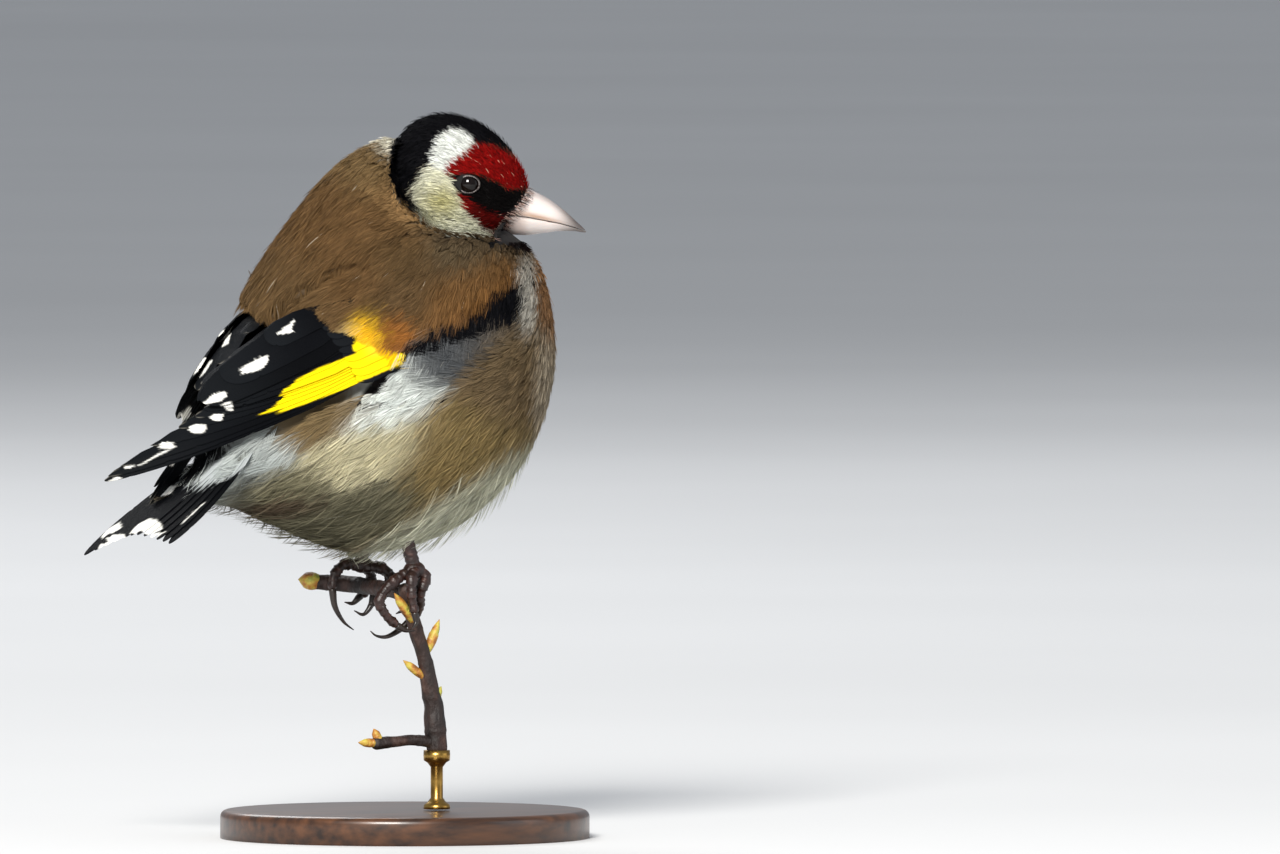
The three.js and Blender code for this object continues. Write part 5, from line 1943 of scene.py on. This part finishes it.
@dataclass(frozen=True)
class Finish:
    """A procedural finish: colour from blotches or from the mesh, then its sockets and its relief."""

    name: str = "plain"
    roughness: float = 0.6
    blotches: Noise | None = None
    stops: tuple = ()
    sockets: tuple = ()
    relief: Noise | None = None
    bumps: Pair = (0.5, 0.0002)

    def material(self) -> bpy.types.Material:
        """The finish as a material, made once."""
        found = bpy.data.materials.get(self.name)
        if found:
            return found
        made = bpy.data.materials.new(self.name)
        made.use_nodes = True
        shader = made.node_tree.nodes["Principled BSDF"]
        shader.inputs["Roughness"].default_value = self.roughness
        self.dress(made.node_tree, shader)
        return made

    def dress(self, tree: Nodes, shader: bpy.types.Node) -> Socket:
        """Add the finish's nodes.

        Args:
            tree: The material's nodes.
            shader: Its main shader.

        Returns:
            Where the colour comes from.
        """
        if self.blotches:
            colour = self.ramp(tree, self.noise(tree, self.blotches), self.stops)
        else:
            colour = self.attribute(tree, "tone").outputs["Color"]
        tree.links.new(colour, shader.inputs["Base Color"])
        for socket, value in self.sockets:
            shader.inputs[socket].default_value = value
        if self.relief:
            self.bump(tree, shader, self.noise(tree, self.relief))
        return colour

    @staticmethod
    def attribute(tree: Nodes, name: str) -> bpy.types.Node:
        """A node that reads an attribute of the mesh."""
        node = tree.nodes.new("ShaderNodeAttribute")
        node.attribute_name = name
        return node

    @staticmethod
    def noise(tree: Nodes, kind: Noise) -> Socket:
        """The noise's value."""
        place = tree.nodes.new("ShaderNodeTexCoord")
        mapping = tree.nodes.new("ShaderNodeMapping")
        mapping.inputs["Scale"].default_value = kind.stretch
        node = tree.nodes.new("ShaderNodeTexNoise")
        node.inputs["Scale"].default_value = kind.scale
        node.inputs["Detail"].default_value = kind.detail
        tree.links.new(place.outputs["Object"], mapping.inputs["Vector"])
        tree.links.new(mapping.outputs["Vector"], node.inputs["Vector"])
        return node.outputs["Fac"]

    @staticmethod
    def ramp(tree: Nodes, source: Socket, stops: Sequence) -> Socket:
        """Colours along a value."""
        node = tree.nodes.new("ShaderNodeValToRGB")
        while len(node.color_ramp.elements) < len(stops):
            node.color_ramp.elements.new(0.5)
        for element, (place, code) in zip(node.color_ramp.elements, stops):
            element.position = place
            element.color = (*tone(code), 1)
        tree.links.new(source, node.inputs["Fac"])
        return node.outputs["Color"]

    def bump(self, tree: Nodes, shader: bpy.types.Node, height: Socket) -> None:
        """Relief in the shading from a height."""
        node = tree.nodes.new("ShaderNodeBump")
        node.inputs["Strength"].default_value, node.inputs["Distance"].default_value = self.bumps
        tree.links.new(height, node.inputs["Height"])
        tree.links.new(node.outputs["Normal"], shader.inputs["Normal"])


@dataclass(frozen=True)
class CoatFinish(Finish):
    """Soft barbs that let a little light through."""

    name: str = "soft_barbs"
    roughness: float = 0.7
    sockets: tuple = (("Specular IOR Level", 0.07),)
    through: float = 0.25

    def dress(self, tree: Nodes, shader: bpy.types.Node) -> Socket:
        """Colour from the mesh, with some light from behind."""
        source = super().dress(tree, shader)
        behind = tree.nodes.new("ShaderNodeBsdfTranslucent")
        tree.links.new(source, behind.inputs["Color"])
        both = tree.nodes.new("ShaderNodeMixShader")
        both.inputs["Fac"].default_value = self.through
        tree.links.new(shader.outputs["BSDF"], both.inputs[1])
        tree.links.new(behind.outputs["BSDF"], both.inputs[2])
        tree.links.new(both.outputs["Shader"], tree.nodes["Material Output"].inputs["Surface"])
        return source


@dataclass(frozen=True)
class VaneFinish(Finish):
    """Smooth flight feathers with the fine lines of their barbs."""

    name: str = "flight_vanes"
    roughness: float = 0.5
    sockets: tuple = (("Specular IOR Level", 0.03),)
    bumps: Pair = (0.5, 0.00008)
    slant: float = -1.5
    lines: float = 16

    def dress(self, tree: Nodes, shader: bpy.types.Node) -> Socket:
        """Colour from the mesh, and slanting barb lines as relief."""
        source = super().dress(tree, shader)
        parts = tree.nodes.new("ShaderNodeSeparateXYZ")
        tree.links.new(self.attribute(tree, "grain").outputs["Vector"], parts.inputs["Vector"])
        side = self.worked(tree, "ABSOLUTE", parts.outputs["X"])
        slant = self.worked(tree, "MULTIPLY_ADD", side, self.slant, parts.outputs["Y"])
        self.bump(tree, shader, self.worked(tree, "SINE", self.worked(tree, "MULTIPLY", slant, self.lines)))
        return source

    @staticmethod
    def worked(tree: Nodes, operation: str, *values: Socket | float) -> Socket:
        """The result of one sum on sockets and numbers."""
        node = tree.nodes.new("ShaderNodeMath")
        node.operation = operation
        for socket, value in zip(node.inputs, values):
            if isinstance(value, Socket):
                tree.links.new(value, socket)
            else:
                socket.default_value = value
        return node.outputs[0]


@dataclass(frozen=True)
class SkinFinish(Finish):
    """Dull skin in the plumage's colours, darkened as painted shade under the feathers, with fine mottling.
    """

    name: str = "bare_skin"
    roughness: float = 0.9
    relief: Noise | None = Noise(900)
    bumps: Pair = (0.4, 0.0002)


@dataclass(frozen=True)
class EyeFinish(Finish):
    """Wet near-black eye."""

    name: str = "wet_eye"
    roughness: float = 0.06
    blotches: Noise | None = Noise(1400)
    stops: tuple = ((0.3, "070404"), (0.7, "120a08"))
    sockets: tuple = (("Specular IOR Level", 0.3),)


@dataclass(frozen=True)
class LidFinish(Finish):
    """Beaded skin round the eye, pale and dark grey by turns."""

    name: str = "eye_skin"
    roughness: float = 0.5
    blotches: Noise | None = Noise(1800)
    stops: tuple = ((0.35, "3c3636"), (0.65, "8f8886"))


@dataclass(frozen=True)
class HornFinish(Finish):
    """Pale waxy horn with fine lengthwise grain."""

    name: str = "pale_horn"
    roughness: float = 0.38
    sockets: tuple = (("Subsurface Weight", 0.15), ("Subsurface Radius", (0.001, 0.0006, 0.0004)))
    relief: Noise | None = Noise(500, 6, (0.4, 1, 2.4))
    bumps: Pair = (0.25, 0.0003)


@dataclass(frozen=True)
class LegFinish(Finish):
    """Dark red-brown scaly skin with small pits."""

    name: str = "leg_scales"
    roughness: float = 0.42
    blotches: Noise | None = Noise(700, 6)
    stops: tuple = ((0.3, "150a07"), (0.55, "28140f"), (0.75, "4a2e26"))
    relief: Noise | None = Noise(2200, 3)


@dataclass(frozen=True)
class ClawFinish(Finish):
    """Nearly black horn with a brown cast."""

    name: str = "dark_claw"
    roughness: float = 0.35
    blotches: Noise | None = Noise(900)
    stops: tuple = ((0.3, "0d0a09"), (0.7, "2b211c"))


@dataclass(frozen=True)
class BarkFinish(Finish):
    """Dark red-brown bark, rough, with pale rubbed places."""

    name: str = "twig_bark"
    blotches: Noise | None = Noise(260, 8, (1, 1, 0.6))
    stops: tuple = ((0.3, "100806"), (0.48, "20110c"), (0.6, "36211a"), (0.78, "705a4e"))
    relief: Noise | None = Noise(1100, 8, (1, 1, 0.5))
    bumps: Pair = (0.8, 0.0006)


@dataclass(frozen=True)
class BudFinish(Finish):
    """Bud scales blotched with brown, ochre, yellow and green."""

    name: str = "bud_scales"
    roughness: float = 0.5
    blotches: Noise | None = Noise(420)
    stops: tuple = ((0.32, "5c3418"), (0.45, "a8702c"), (0.56, "b9a544"), (0.7, "94a04a"))
    relief: Noise | None = Noise(1300)
    bumps: Pair = (0.6, 0.0004)


@dataclass(frozen=True)
class WoodFinish(Finish):
    """Dark stained wood with long grain and a satin varnish."""

    name: str = "dark_wood"
    roughness: float = 0.35
    blotches: Noise | None = Noise(60, 8, (1, 9, 9))
    stops: tuple = ((0.3, "22130b"), (0.7, "5a3820"))
    sockets: tuple = (("Coat Weight", 0.3), ("Coat Roughness", 0.2))


@dataclass(frozen=True)
class BrassFinish(Finish):
    """Brass with slight tarnish."""

    name: str = "brushed_brass"
    roughness: float = 0.3
    blotches: Noise | None = Noise(500)
    stops: tuple = ((0.3, "8c6a34"), (0.7, "b9954f"))
    sockets: tuple = (("Metallic", 1),)


@dataclass(frozen=True)
class FloorFinish(Finish):
    """Plain pale matt floor."""

    name: str = "pale_floor"
    roughness: float = 0.8
    blotches: Noise | None = Noise(3, 2)
    stops: tuple = ((0.3, "d9dadb"), (0.7, "dedfe0"))


@dataclass
class Studio:
    """A pale floor, soft light from the front and above, and a long lens at the picture's place."""

    target: Triple = (37.1, -19.7, 73.4)
    away: Triple = (-0.469, -0.883, 0.035)
    distance: float = 6000
    lens: float = 945
    clip_end: float = 100
    reach: float = 30000
    lit: Triple = (0, 0, 0.09)
    lamps: tuple = (
        ("key", (-1.35, -1.65, 1.25), 0.7, 95, (1, 0.97, 0.92)),
        ("fill", (1.6, -1.3, 0.5), 1.4, 8, (0.92, 0.96, 1)),
        ("rim", (0.3, 1.6, 1.4), 1.0, 16, (1, 1, 1)),
    )

    def light(self, name: str, at: Sequence, size: float, power: float, colour: Triple) -> None:
        """A soft square light that faces the bird."""
        data = bpy.data.lights.new(name, "AREA")
        data.shape = "SQUARE"
        data.size = size
        data.energy = power
        data.color = colour
        lamp = bpy.data.objects.new(name, data)
        lamp.location = Vector(at)
        lamp.rotation_euler = (Vector(self.lit) - lamp.location).to_track_quat("-Z", "Y").to_euler()
        bpy.context.scene.collection.objects.link(lamp)

    def floor(self) -> None:
        """A wide pale floor and an even pale surrounding."""
        bm = bmesh.new()
        bmesh.ops.create_grid(bm, x_segments=8, y_segments=8, size=self.reach)
        floor = finished(bm, "floor", smooth=False)
        floor.data.materials.append(FloorFinish().material())
        world = bpy.data.worlds.new("surrounding")
        world.use_nodes = True
        sky = world.node_tree.nodes["Background"]
        sky.inputs["Color"].default_value = (0.80, 0.84, 0.90, 1)
        sky.inputs["Strength"].default_value = 0.42
        bpy.context.scene.world = world
        bpy.context.scene.view_settings.view_transform = "Standard"

    def build(self) -> None:
        """Floor, lights and camera."""
        self.floor()
        for lamp in self.lamps:
            self.light(*lamp)
        lens = bpy.data.cameras.new("camera")
        lens.lens = self.lens
        lens.sensor_width = 36
        lens.clip_end = self.clip_end
        camera = bpy.data.objects.new("camera", lens)
        target, away = Vector(self.target) * MM, Vector(self.away).normalized()
        camera.location = target + away * self.distance * MM
        camera.rotation_euler = away.to_track_quat("Z", "Y").to_euler()
        bpy.context.scene.collection.objects.link(camera)
        bpy.context.scene.camera = camera


def main() -> None:
    """Build every piece in order and dress it."""
    logging.basicConfig(level=logging.INFO, format="%(message)s")
    hull, plumage = Hull(), Plumage()
    wings = [Wing(side) for side in WingSide]
    hull.build(wings)
    folded = [wing.build() for wing in wings]
    tail = Tail().build()
    hull.skin(plumage)
    Coat(hull, plumage, wings, folded, tail).build()
    for name, side in (("right", -1), ("left", 1)):
        Eye(name, side).build()
        Leg(name).build()
    Bill().build()
    Bristles().build(hull)
    Twig().build()
    Stand().build()
    Studio().build()


if __name__ == "__main__":
    main()
